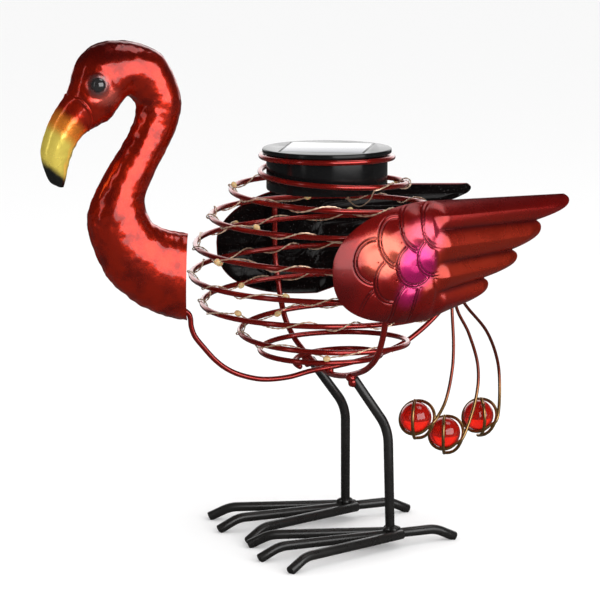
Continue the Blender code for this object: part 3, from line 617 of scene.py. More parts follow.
wing = {
    "length": 181.8, "height": 78.5, "low": 156.3, "front": 39.2, "toeIn": 9.1, "rightLower": 9.8,
    "rimInset": 1.7, "sheet": 1.0, "bulge": 11.0, "bulgePower": 3.4, "featherFlattening": 0.72,
    "ridge": 3.2, "ridgePower": 1.35, "shoulder": 0.39, "rounding": (2.6, 2.0),
    "shoulderColumns": 176, "featherColumns": 60, "linesPerFeather": 44,
    "starts": [1.0, 0.775, 0.508, 0.268, 0.03], "ends": [0.96, 0.765, 0.540, 0.332, 0.113],
    "tips": [1.0, 0.868, 0.764, 0.641], "backs": [0.152, 0.131, 0.148, 0.135],
    "beadHeight": 0.4, "beadHalf": 0.55, "grooveDepth": 0.5, "grooveAt": 1.0, "grooveHalf": 0.44,
    "edgeReach": 2.2, "pillow": 1.3, "pillowFrom": 1.2, "pillowTo": 9.0,
    # scales from the uppermost: middle along and its height, half width, reach up and reach down
    "scales": [
        (75.0, 218.5, 13.5, 16.0, 12.0), (69.0, 200.5, 12.3, 12.0, 11.0), (60.0, 219.0, 13.7, 16.0, 13.0),
        (54.5, 197.0, 13.0, 12.8, 13.0), (44.0, 212.0, 14.0, 15.5, 15.0), (66.5, 171.0, 11.0, 18.0, 40.0),
        (53.5, 170.0, 12.0, 16.0, 40.0), (40.0, 188.5, 13.7, 14.0, 14.2), (32.5, 168.0, 13.5, 17.5, 40.0),
        (27.3, 200.7, 14.3, 14.3, 13.7),
    ],
}


def featherReach(feather, across):        # how far along the wing a feather goes, at a share of its width
    crown = 0.2
    if across < crown:
        back = 0.12 * ((crown - across) / crown) ** 2
    else:
        back = ((across - crown) / (1 - crown)) ** 2.2
    return wing["tips"][feather] - wing["backs"][feather] * back


def shoulderHalf(along, upper):
    reach = max(0.0, 1 - along / wing["shoulder"])
    power = wing["rounding"][upper]
    return max(0.0, 1 - reach**power) ** (1 / power)


def scaleRelief(along, height):        # the relief and how deep in a groove, at a place on the shoulder; the groove share also places painted shade
    for middle, level, half, up, down in wing["scales"]:
        across, rise = along - middle, height - level
        size = math.hypot(across / half, rise / (up if rise > 0 else down))
        distance = math.hypot(across, rise) * (1 - 1 / max(size, 0.05))
        inside = wing["pillow"] * smoothStep(-distance, wing["pillowFrom"], wing["pillowTo"])
        if abs(distance) < wing["edgeReach"]:
            groove = bell(abs(distance) - wing["grooveAt"], wing["grooveHalf"])
            bead = wing["beadHeight"] * bell(distance, wing["beadHalf"])
            return bead + inside - wing["grooveDepth"] * groove, groove
        if distance < 0:
            return inside, 0.0
    return 0.0, 0.0


def wingSurface(column, line):        # along, height, out, groove and relief at one corner of the wing's grid; groove is the mask for painted shade in the grooves
    lines = wing["linesPerFeather"]
    feather = min(3, line // lines)
    across = (line - feather * lines) / lines
    start = wing["starts"][feather] + across * (wing["starts"][feather + 1] - wing["starts"][feather])
    end = wing["ends"][feather] + across * (wing["ends"][feather + 1] - wing["ends"][feather])
    upper, lower = wing["starts"][0], wing["starts"][-1]
    middle, half = (upper + lower) / 2, (upper - lower) / 2
    offset = (start - middle) / half
    if column <= wing["shoulderColumns"]:
        share = column / wing["shoulderColumns"]
        along = wing["shoulder"] * share
        up = middle + offset * half * shoulderHalf(along, offset > 0)
        featherShare = 0.0
    else:
        featherShare = (column - wing["shoulderColumns"]) / wing["featherColumns"]
        along = wing["shoulder"] + (featherReach(feather, across) - wing["shoulder"]) * featherShare
        up = start + (end - start) * featherShare
    reach = max(0.0, 1 - along / wing["shoulder"])
    power = wing["rounding"][offset > 0]
    rise = abs(offset) * shoulderHalf(along, offset > 0)
    edge = min(1.0, (reach**power + rise**power) ** (1 / power))
    dome = wing["bulge"] * (1 - edge ** wing["bulgePower"])
    alongMm, height = along * wing["length"], wing["low"] + up * wing["height"]
    root = wing["shoulder"] * wing["length"]
    relief, groove = scaleRelief(alongMm, height)
    fade = (1 - smoothStep(alongMm, root - 3.0, root + 1.5)) * (1 - edge**8)
    relief, groove = relief * fade, groove * fade
    out = dome * (1 - wing["featherFlattening"] * featherShare) + relief
    folding = smoothStep(alongMm, root - 2.0, root + 9.0)
    fold = 1 - abs(2 * across - 1) ** wing["ridgePower"]
    tip = 1 - smoothStep(featherShare, 0.9, 1.0) * 0.5
    out += wing["ridge"] * fold * folding * tip
    # a wider band between the feathers, used only for the painted shade in their grooves
    groove = max(groove, 0.8 * bell(min(across, 1 - across), 0.10) * folding)
    return alongMm, height, out, groove, relief


def makeWing(node, side, lower):
    toeIn = math.radians(wing["toeIn"])
    forward = Vector((math.cos(toeIn), -side * math.sin(toeIn), 0.0))
    outward = Vector((math.sin(toeIn), side * math.cos(toeIn), 0.0))
    frontY = hoop["halfWidth"] - wing["rimInset"] + (wing["front"] + hoop["x"]) * math.tan(toeIn)
    front = place(-wing["front"], side * frontY, -lower)
    columns = wing["shoulderColumns"] + wing["featherColumns"]
    lines = 4 * wing["linesPerFeather"]
    corners = {}

    def wingPlace(column, row):
        line = lines - row
        corners[(column, line)] = wingSurface(column, line)
        along, height, out = corners[(column, line)][:3]
        return front + (forward * along + outward * out + Vector((0, 0, height))) * mm

    sheet = bendGrid(node, columns, lines, wingPlace)
    mesh = sheet.data
    cornerOf = {(lines - line) * (columns + 1) + column: (column, line) for column, line in corners}
    # the groove mask goes to the paint, which uses it for painted shade
    for name, part in (("groove", 3), ("relief", 4)):
        attribute = mesh.attributes.new(name, "FLOAT", "POINT")
        for index, key in cornerOf.items():
            attribute.data[index].value = corners[key][part]
    uvMap = mesh.uv_layers.active
    for loop in mesh.loops:
        along, height = corners[cornerOf[loop.vertex_index]][:2]
        uvMap.data[loop.index].uv = (along / wing["length"], (height - wing["low"]) / wing["height"])
    pickOnly(sheet)
    bpy.ops.object.mode_set(mode="EDIT")
    bpy.ops.mesh.select_all(action="SELECT")
    bpy.ops.mesh.remove_doubles(threshold=1e-6)
    bpy.ops.mesh.dissolve_degenerate(threshold=1e-6)
    if side > 0:
        bpy.ops.mesh.flip_normals()
    bpy.ops.object.mode_set(mode="OBJECT")
    sheet.data.materials.append(wingPaint)
    sheet.data.materials.append(wingInside)
    applyModifier(sheet, "SOLIDIFY", thickness=wing["sheet"] * mm, offset=-1.0, material_offset=1,
                  material_offset_rim=0)
    # the scales are pressed from outside, so they hardly show on the inner face
    count = len(sheet.data.vertices) // 2
    relief = sheet.data.attributes["relief"].data
    for vert in sheet.data.vertices[count:]:
        vert.co -= outward * relief[vert.index].value * mm
    finishPiece(sheet, f"{node}_sheet", [], [node], 50.0)
    print(node, "made")


wingFacts = {
    "red": (0.42, 0.007, 0.004), "deepRed": (0.16, 0.0015, 0.0015), "coral": (0.72, 0.12, 0.07),
    "pink": (0.72, 0.06, 0.12), "magenta": (0.66, 0.012, 0.18), "orange": (0.46, 0.035, 0.006),
    # painted shade for the grooves between scales and between feathers
    "groove": (0.06, 0.002, 0.006),
    "roughness": (0.22, 0.34), "peelSize": 2.2, "peelDepth": 0.05, "mottleSize": 14.0, "dust": 0.15,
    "shader": {"Metallic": 0.82, "Coat Weight": 0.7, "Coat Roughness": 0.16},
}
insideFacts = {
    "colour": (0.002, 0.0015, 0.0015), "otherColour": (0.004, 0.0025, 0.0025),
    "dustColour": (0.35, 0.33, 0.33),
    "roughness": (0.08, 0.15), "peelSize": 2.5, "peelDepth": 0.01, "mottleSize": 12.0, "dust": 0.3,
    "shader": {"Metallic": 0.0, "Coat Weight": 0.0, "Specular IOR Level": 0.12},
}


def makeWingPaint():
    facts = wingFacts
    finish = Finish("wing_paint", facts)
    tree = finish.tree
    size = (wing["length"], wing["height"], 0.0)
    onWing = vectorMath(tree, "MULTIPLY", finish.coordinates.outputs["UV"], size)
    mottle = finish.skin.outputs["Mottle"]
    colour = finish.mix(facts["red"], facts["deepRed"], mottle)
    spots = [        # colour, place along and up the wing, radius, fade, stretch, strength
        ("orange", (120.0, 38.0), 16.0, 30.0, (2.0, 0.85), 0.6),
        # painted shade: a darker strip along the top edge of the first feather
        ("deepRed", (118.0, 76.0), 5.0, 10.0, (6.0, 0.8), 0.7),
        ("pink", (62.0, 57.0), 7.0, 9.0, (1.3, 1.1), 0.85),
        ("coral", (31.0, 49.0), 10.0, 7.0, (1.25, 1.1), 0.95),
        ("magenta", (56.0, 40.0), 9.0, 8.0, (1.15, 1.15), 0.95),
        ("magenta", (50.0, 24.0), 5.0, 9.0, (1.0, 1.2), 0.7),
        # painted shade: darker red along the top, front and bottom rims, where the domed sheet turns away
        # from the light
        ("deepRed", (42.0, 79.0), 4.0, 8.0, (5.0, 1.0), 0.8),
        ("deepRed", (4.0, 42.0), 8.0, 12.0, (1.0, 2.8), 0.9),
        ("deepRed", (34.0, 1.0), 6.0, 11.0, (4.5, 1.0), 0.75),
    ]
    for name, (along, up), radius, fade, (wide, high), strength in spots:
        mask = finish.spot(onWing, (along, up, 0.0), radius, fade, (wide, high, 1.0))
        colour = finish.mix(colour, facts[name], finish.math("MULTIPLY", mask, strength))
    # painted shade: the grooves between scales and between feathers darkened
    groove = addNode(tree, "ShaderNodeAttribute", attribute_name="groove").outputs["Fac"]
    colour = finish.mix(colour, facts["groove"], finish.math("MULTIPLY", groove, 0.85))
    return finish.finish(colour)


wingPaint = makeWingPaint()
wingInside = plainFinish("wing_inside", insideFacts)
makeWing("left_wing", -1, 0.0)
makeWing("right_wing", 1, wing["rightLower"])


# The solar lid and its panel

lid = {
    "radius": 42.0, "rim": 3.0, "bodyRadius": 39.4, "depth": 27.5, "sides": 128,
    "rimBevel": 0.9, "underBevel": 0.5, "lowerTaper": 1.6,
    "panelSide": 55.0, "pocketPlay": 0.3, "panelThickness": 0.8, "panelTurn": -32.0, "panelBevel": 0.25,
}
lidFacts = {
    "colour": (0.0035, 0.0035, 0.004), "otherColour": (0.006, 0.006, 0.006), "dustColour": (0.05, 0.05, 0.05),
    "roughness": (0.12, 0.20), "peelSize": 4.0, "peelDepth": 0.01, "mottleSize": 20.0, "dust": 0.2,
    "shader": {"Metallic": 0.0, "Coat Weight": 0.0, "Specular IOR Level": 0.3},
}
panelFacts = {
    "cell": (0.010, 0.013, 0.035), "cellEdge": (0.035, 0.04, 0.075), "finger": (0.30, 0.31, 0.34),
    "border": (0.002, 0.002, 0.002), "fingerGap": 2.6, "fingerWidth": 0.16, "cellWidth": 13.1,
    "barWidth": 0.7, "borderWidth": 1.3,
    "roughness": (0.05, 0.12), "peelSize": 5.0, "peelDepth": 0.006, "mottleSize": 12.0, "dust": 0.3,
    "shader": {"Metallic": 0.0, "Coat Roughness": 0.02, "Specular IOR Level": 0.08},
}


def selectParts(obj, kind, test):        # in edit mode, picks the faces or edges whose corners pass a test
    bpy.ops.object.mode_set(mode="OBJECT")
    mesh = obj.data
    for parts in (mesh.vertices, mesh.edges, mesh.polygons):
        parts.foreach_set("select", [False] * len(parts))
    for part in mesh.polygons if kind == "FACE" else mesh.edges:
        part.select = test([mesh.vertices[i].co for i in part.vertices])
    bpy.ops.object.mode_set(mode="EDIT")
    bpy.ops.mesh.select_mode(type=kind)


def onCircle(radius, height):        # a test for corners on a level circle round the lid's middle
    def near(point):
        return abs(point.z - height) < 1e-5 and abs(math.hypot(point.x, point.y) - radius * mm) < 1e-4
    return lambda corners: all(near(point) for point in corners)


def makeLid():
    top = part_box("solar_lid")[1].z
    underRim = top - lid["rim"] * mm
    depth = (lid["depth"] - lid["rim"]) * mm
    bpy.ops.mesh.primitive_cylinder_add(vertices=lid["sides"], radius=lid["bodyRadius"] * mm, depth=depth,
                                        location=(0, 0, underRim - depth / 2))
    body = bpy.context.object
    bpy.ops.object.transform_apply(location=True)
    selectParts(body, "FACE", onCircle(lid["bodyRadius"], underRim))
    bpy.ops.mesh.extrude_region_move()
    grow = lid["radius"] / lid["bodyRadius"]
    bpy.ops.transform.resize(value=(grow, grow, 1.0))
    bpy.ops.mesh.extrude_region_move(TRANSFORM_OT_translate={"value": (0, 0, lid["rim"] * mm)})

    for radius, height, width in ((lid["radius"], top, lid["rimBevel"]),
                                  (lid["radius"], underRim, lid["underBevel"]),
                                  (lid["bodyRadius"], top - lid["depth"] * mm, lid["lowerTaper"])):
        selectParts(body, "EDGE", onCircle(radius, height))
        bpy.ops.mesh.bevel(offset=width * mm, segments=4, profile=0.5)
    bpy.ops.object.mode_set(mode="OBJECT")

    turn, thickness = math.radians(lid["panelTurn"]), lid["panelThickness"] * mm
    pocketSide = (lid["panelSide"] + 2 * lid["pocketPlay"]) * mm
    pocketDepth = thickness + lid["pocketPlay"] * mm
    bpy.ops.mesh.primitive_cube_add(size=1.0, location=(0, 0, top), rotation=(0, 0, turn),
                                    scale=(pocketSide, pocketSide, 2 * pocketDepth))
    pocket = bpy.context.object
    applyModifier(body, "BOOLEAN", operation="DIFFERENCE", object=pocket)
    bpy.data.objects.remove(pocket)
    body.location.x = axisX
    plastic = plainFinish("lid_plastic", lidFacts)
    finishPiece(body, "solar_lid_case", [plastic], ["solar_lid"], 30.0)

    side = lid["panelSide"] * mm
    bpy.ops.mesh.primitive_cube_add(size=1.0, location=(axisX, 0, top - thickness / 2), rotation=(0, 0, turn),
                                    scale=(side, side, thickness))
    panel = bpy.context.object
    bpy.ops.object.transform_apply(location=False, rotation=False, scale=True)
    applyModifier(panel, "BEVEL", width=lid["panelBevel"] * mm, segments=3)
    finishPiece(panel, "solar_cell", [makePanelGlass()], ["solar_panel"], 30.0)
    print("lid made")


def makePanelGlass():
    facts = panelFacts
    finish = Finish("panel_glass", facts)
    tree = finish.tree
    turn = math.radians(lid["panelTurn"])
    moved = vectorMath(tree, "SUBTRACT", finish.place, tuple(place(0, 0, 0)))
    turned = addNode(tree, "ShaderNodeVectorRotate", {"Vector": moved, "Angle": -turn},
                     rotation_type="Z_AXIS")
    inMm = vectorMath(tree, "MULTIPLY", turned.outputs[0], (1 / mm,) * 3)
    parts = addNode(tree, "ShaderNodeSeparateXYZ", {"Vector": inMm})

    def stripes(axis, gap, width):        # thin lines a gap apart
        wave = finish.math("PINGPONG", parts.outputs[axis], gap / 2)
        return finish.math("LESS_THAN", wave, width / 2)

    colour = finish.mix(facts["cell"], facts["cellEdge"], finish.skin.outputs["Mottle"])
    fingers = stripes("X", facts["fingerGap"], facts["fingerWidth"])
    colour = finish.mix(colour, facts["finger"], finish.math("MULTIPLY", fingers, 0.5))
    colour = finish.mix(colour, facts["finger"], stripes("Y", facts["cellWidth"], facts["barWidth"]))
    edges = addNode(tree, "ShaderNodeSeparateXYZ", {"Vector": vectorMath(tree, "ABSOLUTE", inMm)})
    outer = finish.math("MAXIMUM", edges.outputs["X"], edges.outputs["Y"])
    border = finish.math("GREATER_THAN", outer, lid["panelSide"] / 2 - facts["borderWidth"])
    shining = finish.math("SUBTRACT", 1.0, border)
    tree.links.new(shining, finish.shader.inputs["Coat Weight"])
    return finish.finish(finish.mix(colour, facts["border"], border))


makeLid()


# The string of lamps, wound loosely round the spiral

string = {
    "wire": 0.58, "strands": 2, "twist": 8.0, "strandOffset": 0.31, "from": 1.35, "to": 7.4,
    "pointsPerTurn": 300, "wrap": 44.0, "clear": 0.08,
    # how unevenly it winds, how far it stands off between, and the lift at each lamp: amounts and lengths
    "drift": (3.2, 70.0), "slack": (0.4, 23.0), "lift": (1.3, 4.0),
    # the lead from the lid's underside: where it comes out, then shares of the way and drops
    "outletShare": 0.45, "outletGap": 0.3, "lead": [(0.0, 0.0), (0.0, 4.0), (0.4, 9.0), (0.8, 6.0)],
    "lampSize": (2.6, 1.9, 2.0),
    "lampTurns": [1.60, 2.02, 2.42, 2.78, 3.15, 3.45, 3.72, 3.87, 4.11, 4.50, 4.90, 5.20, 5.55, 5.88, 6.12,
                  6.50, 6.85, 7.25],
}
stringFacts = {
    "colour": (0.95, 0.74, 0.54), "otherColour": (0.78, 0.50, 0.34),
    "roughness": (0.22, 0.38), "peelSize": 2.0, "peelDepth": 0.01, "mottleSize": 9.0, "dust": 0.1,
    "shader": {"Metallic": 0.75, "Coat Weight": 0.5},
}
lampFacts = {
    "colour": (0.66, 0.48, 0.26), "otherColour": (0.42, 0.26, 0.10),
    "roughness": (0.12, 0.25), "peelSize": 1.4, "peelDepth": 0.08, "mottleSize": 2.2, "dust": 0.0,
    "shader": {"Metallic": 0.0, "Coat Weight": 0.6, "Subsurface Weight": 0.35, "Subsurface Scale": 0.002},
}


def stringPlace(turn, length, strand=None):        # lying on the spiral's wire and winding slowly round it
    (drift, driftLength), (slack, slackLength) = string["drift"], string["slack"]
    lift, liftLength = string["lift"]
    angle = length / string["wrap"] * math.tau + drift * noise.noise(Vector((length / driftLength, 0.0, 7.7)))
    away = coil["wire"] / 2 + string["wire"] + string["clear"]
    away += slack * (0.5 + 0.5 * noise.noise(Vector((length / slackLength, 3.1, 0.0))))
    nearest = min(abs(turn - lamp) for lamp in string["lampTurns"])
    away += lift * bell(nearest * math.tau * coil["widest"], liftLength)
    outward, rise = away * math.cos(angle), away * math.sin(angle)
    if strand is not None:
        twist = length / string["twist"] * math.tau + strand * math.tau / string["strands"]
        outward += string["strandOffset"] * math.cos(twist)
        rise += string["strandOffset"] * math.sin(twist)
    return coilPlace(turn, outward, rise)


def makeString():
    count = round((string["to"] - string["from"]) * string["pointsPerTurn"])
    turns = [string["from"] + (string["to"] - string["from"]) * k / count for k in range(count + 1)]
    lengths = [0.0]
    for before, after in zip(turns, turns[1:]):
        lengths.append(lengths[-1] + (coilPlace(after) - coilPlace(before)).length / mm)
    middle = place(0, 0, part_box("solar_lid")[0].z / mm - string["outletGap"])
    strands = []
    for strand in range(string["strands"]):
        points = [stringPlace(turn, length, strand) for turn, length in zip(turns, lengths)]
        outlet = middle.lerp(points[0], string["outletShare"])
        outlet.x += strand * mm
        outlet.z = middle.z
        lead = [outlet.lerp(points[0], share) - Vector((0, 0, drop * mm)) for share, drop in string["lead"]]
        lead.append(points[0])
        strands.append(bendWire("strand", smoothLine(lead, 10)[:-1] + points, string["wire"] * mm, 1))
    finish = plainFinish("string_wire", stringFacts)
    finishPiece(joinAll(strands), "light_string_wire", [finish], ["light_string"])
    lamps = []
    for lampTurn in string["lampTurns"]:
        k = min(range(count + 1), key=lambda i: abs(turns[i] - lampTurn))
        here, ahead = stringPlace(turns[k], lengths[k]), stringPlace(turns[k] + 0.004, lengths[k] + 2.0)
        bpy.ops.mesh.primitive_uv_sphere_add(segments=16, ring_count=10, radius=mm, location=here)
        lamp = bpy.context.object
        lamp.scale = string["lampSize"]
        lamp.rotation_euler = (ahead - here).to_track_quat("X", "Z").to_euler()
        lamps.append(lamp)
    finishPiece(joinAll(lamps), "light_string_lamps", [plainFinish("lamp_resin", lampFacts)])
    print("light string made")


makeString()


# The legs and feet

legs = {
    "rod": 6.4, "spread": 35.0, "knee": (29.0, 79.0), "kneeBend": 10.0, "footX": 30.0, "stance": 1.5,
    "hubHeight": 8.5, "footSpread": 38.9, "toeLength": 94.5, "toeSplay": 22.0, "heelLength": 49.1,
    "clawLength": 16.0, "clawDrop": 25.0, "toeTail": 7.0, "toeOffset": 4.0, "bend": 5.0,
    # how far the leg's rod starts off the hoop's wire, and how deep it goes into the weld on the foot
    "topGap": 0.6, "footSink": 1.0,
    # beads of weld round the leg's foot: place from the hub, y towards the other leg, and radius
    "beads": [(-2.8, -1.7, 3.8, 2.6), (3.0, -1.3, 3.6, 2.8), (-0.7, 2.6, 3.9, 2.4), (0.9, -3.3, 3.5, 2.7),
              (5.4, 0.7, 2.0, 3.0), (3.7, 2.4, 2.8, 2.4)],
}
legFacts = {
    "colour": (0.006, 0.0055, 0.0055), "otherColour": (0.013, 0.012, 0.011),
    "dustColour": (0.09, 0.085, 0.08),
    "roughness": (0.22, 0.36), "peelSize": 1.1, "peelDepth": 0.05, "mottleSize": 10.0, "dust": 0.3,
    "shader": {"Metallic": 0.0, "Specular IOR Level": 0.55},
}


def roundedPath(points, bend, steps=8):        # straight runs with each corner eased over a length
    points = [Vector(point) for point in points]
    path = [points[0]]
    for before, corner, after in zip(points, points[1:], points[2:]):
        start = corner + (before - corner).normalized() * bend
        end = corner + (after - corner).normalized() * bend
        for k in range(steps + 1):
            t = k / steps
            path.append(start * (1 - t) ** 2 + corner * 2 * t * (1 - t) + end * t**2)
    return path + [points[-1]]


def cutAtFloor(obj):
    pickOnly(obj)
    bpy.ops.object.mode_set(mode="EDIT")
    bpy.ops.mesh.select_all(action="SELECT")
    bpy.ops.mesh.bisect(plane_co=(0, 0, 0), plane_no=(0, 0, -1), use_fill=True, clear_outer=True)
    bpy.ops.object.mode_set(mode="OBJECT")


def weldLump(middle, size, seed):        # a small uneven bead of weld
    bpy.ops.mesh.primitive_ico_sphere_add(subdivisions=3, radius=mm, location=middle)
    lump = bpy.context.object
    for vert in lump.data.vertices:
        bulge = 1 + 0.16 * noise.noise(vert.co * 1100 + Vector((seed, 0, 0)))
        vert.co = Vector([across * half for across, half in zip(vert.co, size)]) * bulge
    return lump


def hoopAboveLeg(side):        # the hoop's point that a leg hangs from
    return min(hoopPoints(), key=lambda point: abs(point.y - side * legs["spread"] * mm))


def makeLegs():
    paint = plainFinish("leg_paint", legFacts)
    rod, splay, claw = legs["rod"], math.radians(legs["toeSplay"]), math.radians(legs["clawDrop"])
    for word, side in (("left", -1), ("right", 1)):
        stance = side * legs["stance"]
        hub = Vector((legs["footX"] + stance, side * legs["footSpread"], legs["hubHeight"]))
        kneeX, kneeZ = legs["knee"]
        knee = Vector((kneeX + stance, side * (legs["spread"] + legs["footSpread"]) / 2, kneeZ))
        onHoop = (hoopAboveLeg(side) - place(0, 0, 0)) / mm
        top = onHoop + (knee - onHoop).normalized() * (hoop["wire"] / 2 + legs["topGap"])
        foot = hub + Vector((0, 0, rod / 2 - legs["footSink"]))
        path = roundedPath([top, knee, foot], legs["kneeBend"], 14)
        leg = bendWire("leg", [place(*point) for point in path], rod * mm, 8)
        finishPiece(leg, f"{word}_leg_rod", [paint], [f"{word}_leg"])

        toes = [("middle", Vector((-1, 0, 0)), legs["toeLength"], 0.0, 0.0),
                ("heel", Vector((1, 0, 0)), legs["heelLength"], 0.0, 0.0)]
        for name, turn in (("inner", side), ("outer", -side)):
            direction = Vector((-math.cos(splay), -turn * math.sin(splay), 0))
            toes.append((name, direction, legs["toeLength"], legs["toeTail"], -turn * legs["toeOffset"]))
        for name, direction, length, tail, offset in toes:
            drop = direction * math.cos(claw) + Vector((0, 0, -math.sin(claw)))
            bendAt = hub + direction * (length - legs["clawLength"])
            start = hub + Vector((tail, offset, 0))
            path = roundedPath([start, bendAt, bendAt + drop * legs["clawLength"]], legs["bend"], 10)
            toe = bendWire("toe", [place(*point) for point in path], rod * mm, 8, None, sawnEnd)
            cutAtFloor(toe)
            finishPiece(toe, f"{word}_{name}_toe_rod", [paint], [f"{word}_{name}_toe"])

        lumps = []
        for i, (x, y, z, size) in enumerate(legs["beads"]):
            spot = place(*(hub + Vector((x, y * -side, z))))
            lumps.append(weldLump(spot, (size, size, size * 0.8), i + 7.3 * side))
        finishPiece(joinAll(lumps), f"{word}_foot_weld", [paint])
    print("legs and feet made")


makeLegs()


# Weld beads where the painted wires meet

welds = {        # places from the point where they sit, with y away from the middle, and radii
    "onHoop": [((-0.6, 0.4, -1.6), (3.3, 3.6, 3.0)), ((0.4, 0.6, -4.6), (2.9, 2.8, 3.6))],
    "underKeel": (1.9, (2.8, 2.9, 2.6)),
    "keelEnd": ((0.2, 0.0, -1.5), (2.6, 4.4, 3.0)),
    "ringEnd": (3.5, (2.4, 2.2, 2.4)),
}


def makeWelds():
    spots = []
    for side in (-1, 1):
        for (x, y, z), size in welds["onHoop"]:
            spots.append((hoopAboveLeg(side) + Vector((x, side * y, z)) * mm, size))
    rise, size = welds["underKeel"]
    spots.append((place(hoop["x"], 0, hoop["bottom"] + rise), size))
    offset, size = welds["keelEnd"]
    spots.append((keelPoints()[-1] + Vector(offset) * mm, size))
    rise, size = welds["ringEnd"]
    spots.append((coilPlace(coil["rows"][0][0] + 1.0, 0.0, rise), size))
    beads = joinAll([weldLump(spot, size, 3.7 * i) for i, (spot, size) in enumerate(spots)])
    finishPiece(beads, "wire_welds", [wireEnamel])
    print("welds made")


makeWelds()


# The tail: three wires that each wrap a glass marble

tail = {
    "wire": 2.2, "root": (92.8, 0.0, 174.0), "marble": 10.4, "gap": 0.1, "turns": 1.57, "steps": 72,
    "facing": Vector((-0.39, -0.92, 0.0)).normalized(),
    "right": Vector((0.92, -0.39, 0.0)).normalized(),
    "up": Vector((0.0, 0.0, 1.0)), "tilt": 40.0, "topSink": 2.0,
    "sprays": [
        {"top": (-1.5, -3.8), "marble": (-33.5, -13.0, -95.3), "lean": -12.0,
         "stem": [(-4.0, -6.0, -22.0), (-4.6, -10.0, -48.0), (-7.0, -13.0, -66.0), (-14.0, -18.0, -84.5)]},
        {"top": (4.0, 0.0), "marble": (-5.4, 0.0, -110.9), "lean": -8.0,
         "stem": [(2.0, 0.0, -24.0), (12.0, 0.0, -44.5), (18.5, -1.0, -67.0), (15.5, -4.5, -88.0)]},
        {"top": (-1.5, 3.8), "marble": (26.5, 13.0, -104.3), "lean": 14.0,
         "stem": [(11.0, 6.0, -24.0), (30.0, 10.0, -45.0), (39.8, 12.0, -66.0), (41.0, 10.0, -86.0)]},
    ],
}
tailFacts = {
    "copper": (0.34, 0.060, 0.03), "darkCopper": (0.15, 0.022, 0.012), "brass": (0.60, 0.33, 0.11),
    "darkBrass": (0.16, 0.09, 0.03), "brassFrom": (100.0, 82.0),
    "roughness": (0.22, 0.36), "peelSize": 1.4, "peelDepth": 0.02, "mottleSize": 7.0, "dust": 0.2,
    "shader": {"Metallic": 0.95, "Coat Weight": 0.5, "Coat Roughness": 0.08},
}
glassFacts = {
    "colour": (0.95, 0.03, 0.012), "otherColour": (0.75, 0.008, 0.006),
    "roughness": (0.02, 0.05), "peelSize": 3.0, "peelDepth": 0.02, "mottleSize": 5.0, "dust": 0.1,
    "shader": {"Metallic": 0.0, "Transmission Weight": 0.75, "IOR": 1.5, "Coat Weight": 0.6,
               "Coat Roughness": 0.03},
}


def makeTailFinish():
    facts = tailFacts
    finish = Finish("tail_wire", facts)
    mottle = finish.skin.outputs["Mottle"]
    copper = finish.mix(facts["copper"], facts["darkCopper"], mottle)
    brass = finish.mix(facts["brass"], facts["darkBrass"], mottle)
    height = addNode(finish.tree, "ShaderNodeSeparateXYZ", {"Vector": finish.place}).outputs["Z"]
    begin, full = facts["brassFrom"]
    share = mapRange(finish.tree, height, begin * mm, full * mm, kind="SMOOTHSTEP")
    return finish.finish(finish.mix(copper, brass, share))


def cagePlace(turn, lean):        # a loop that leans to one side, then a half loop over the marble's front
    facing, right, up = tail["facing"], tail["right"], tail["up"]
    tilt, angle = math.radians(tail["tilt"]), turn * math.tau
    side = (right - up).normalized() * math.cos(tilt) + facing * math.sin(tilt)
    first = side * math.cos(angle) - (right + up).normalized() * math.sin(angle)
    front = facing * math.cos(lean) + right * math.sin(lean)
    angle -= 1.125 * math.tau
    second = front * math.sin(angle) - up * math.cos(angle)
    return first.lerp(second, smoothStep(turn, 0.92, 1.2)).normalized(), smoothStep(turn, 0.62, 0.94)


def sprayPath(spray):
    root = Vector(tail["root"])
    centre = root + Vector(spray["marble"])
    first = root + Vector((spray["top"][0], spray["top"][1], -tail["topSink"]))
    stem = [first] + [root + Vector(step) for step in spray["stem"]]
    cage = []
    for k in range(tail["steps"] + 1):
        way, over = cagePlace(tail["turns"] * k / tail["steps"], math.radians(spray["lean"]))
        cage.append(centre + way * (tail["marble"] + tail["wire"] / 2 + tail["gap"] + over * tail["wire"]))
    approach = cagePlace(-0.1, 0.0)[0] * (tail["marble"] + tail["wire"]) * 1.15
    return smoothLine(stem + [centre + approach, cage[0]], 12)[:-1] + cage, centre


def makeTail():
    wireFinish, glass = makeTailFinish(), plainFinish("marble_glass", glassFacts)
    for number, spray in enumerate(tail["sprays"], 1):
        path, centre = sprayPath(spray)
        wire = bendWire("spray", [place(*point) for point in path], tail["wire"] * mm, 4)
        finishPiece(wire, f"tail_spray_{number}", [wireFinish], [f"tail_wire_{number}"])
        bpy.ops.mesh.primitive_uv_sphere_add(segments=64, ring_count=32, radius=tail["marble"] * mm,
                                             location=place(*centre))
        marble = bpy.context.object
        finishPiece(marble, f"tail_glass_{number}", [glass], [f"tail_marble_{number}"])
    print("tail made")


makeTail()


# Camera, floor and lights

view = {
    "azimuth": -23.39, "elevation": 10.01, "distance": 1750.0, "aim": (-19.05, 0.0, 161.35),
    "focalPixels": 2681.5, "imagePixels": 600,
}
studio = {
    "floorColour": 0.86, "floorInReflections": 0.06, "floorSize": 30.0,
    "pale": 1.12, "wall": 1.35, "dark": (0.02, 0.02, 0.022),
    # name, turn from the camera's side, height angle, distance, width, height, power
    "boxes": [("rightBox", 40.0, 13.0, 1.3, 1.50, 1.0, 14.5), ("leftBox", -45.0, 16.0, 1.3, 0.16, 1.1, 0.7),
              ("topBox", 100.0, 68.0, 1.5, 0.7, 0.7, 3.0)],
}


def towards(azimuth, elevation):        # the direction from the object to a viewer at these angles
    a, e = math.radians(azimuth), math.radians(elevation)
    return Vector((math.sin(a) * math.cos(e), -math.cos(a) * math.cos(e), math.sin(e)))


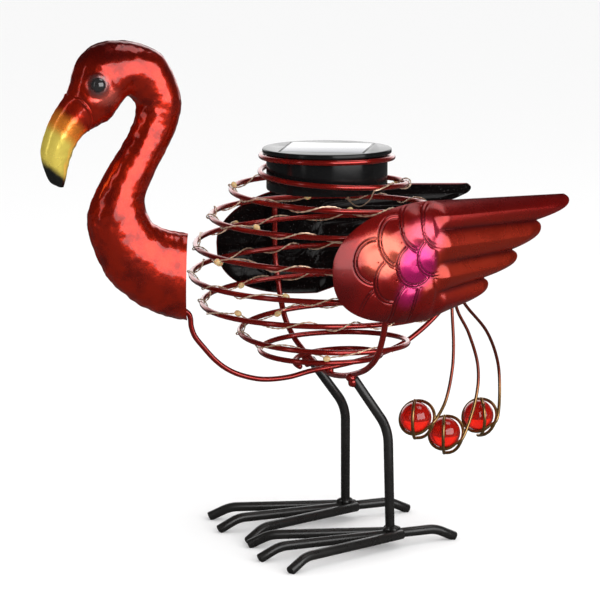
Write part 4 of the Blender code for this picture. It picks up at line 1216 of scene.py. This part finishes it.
def makeCamera():
    back = towards(view["azimuth"], view["elevation"])
    aim = place(*view["aim"])
    bpy.ops.object.camera_add(location=aim + back * view["distance"] * mm)
    camera = bpy.context.object
    camera.rotation_euler = (-back).to_track_quat("-Z", "Y").to_euler()
    camera.data.sensor_width = 36.0
    camera.data.lens = view["focalPixels"] / view["imagePixels"] * camera.data.sensor_width
    camera.data.clip_end = 60.0
    bpy.context.scene.camera = camera


def makeFloor():
    bpy.ops.mesh.primitive_plane_add(size=studio["floorSize"])
    floor = bpy.context.object
    floor.name = "floor"
    material = bpy.data.materials.new("floor")
    material.use_nodes = True
    tree = material.node_tree
    shader = tree.nodes["Principled BSDF"]
    glossy = addNode(tree, "ShaderNodeLightPath").outputs["Is Glossy Ray"]
    level = mapRange(tree, glossy, 0.0, 1.0, studio["floorColour"], studio["floorInReflections"])
    grey = addNode(tree, "ShaderNodeCombineColor", {0: level, 1: level, 2: level})
    tree.links.new(grey.outputs[0], shader.inputs["Base Color"])
    shader.inputs["Roughness"].default_value = 0.9
    shader.inputs["Specular IOR Level"].default_value = 0.1
    floor.data.materials.append(material)


def makeLights():
    for name, turn, rise, distance, width, height, power in studio["boxes"]:
        direction = towards(view["azimuth"] + turn, rise)
        bpy.ops.object.light_add(type="AREA", location=place(0, 0, 180) + direction * distance)
        light = bpy.context.object
        light.name = name
        light.rotation_euler = (-direction).to_track_quat("-Z", "Y").to_euler()
        light.data.shape = "RECTANGLE"
        light.data.size, light.data.size_y = width, height
        light.data.energy = power


def makeWorld():
    world = bpy.data.worlds.new("studio")
    bpy.context.scene.world = world
    world.use_nodes = True
    tree = world.node_tree
    background = tree.nodes["Background"]
    direction = addNode(tree, "ShaderNodeTexCoord").outputs["Generated"]
    facing = vectorMath(tree, "DOT_PRODUCT", direction, tuple(-towards(view["azimuth"], 0.0)))
    wall = mapRange(tree, facing, 0.62, 0.92, kind="SMOOTHSTEP")
    pale, bright = (*[studio["pale"]] * 3, 1.0), (*[studio["wall"]] * 3, 1.0)
    room = addNode(tree, "ShaderNodeMix", {0: wall, 6: (*studio["dark"], 1.0), 7: bright}, data_type="RGBA")
    glossy = addNode(tree, "ShaderNodeLightPath").outputs["Is Glossy Ray"]
    seen = addNode(tree, "ShaderNodeMix", {0: glossy, 6: pale, 7: room.outputs[2]}, data_type="RGBA")
    tree.links.new(seen.outputs[2], background.inputs["Color"])


makeCamera()
makeFloor()
makeLights()
makeWorld()
bpy.context.scene.view_settings.view_transform = "Standard"
print("studio made")
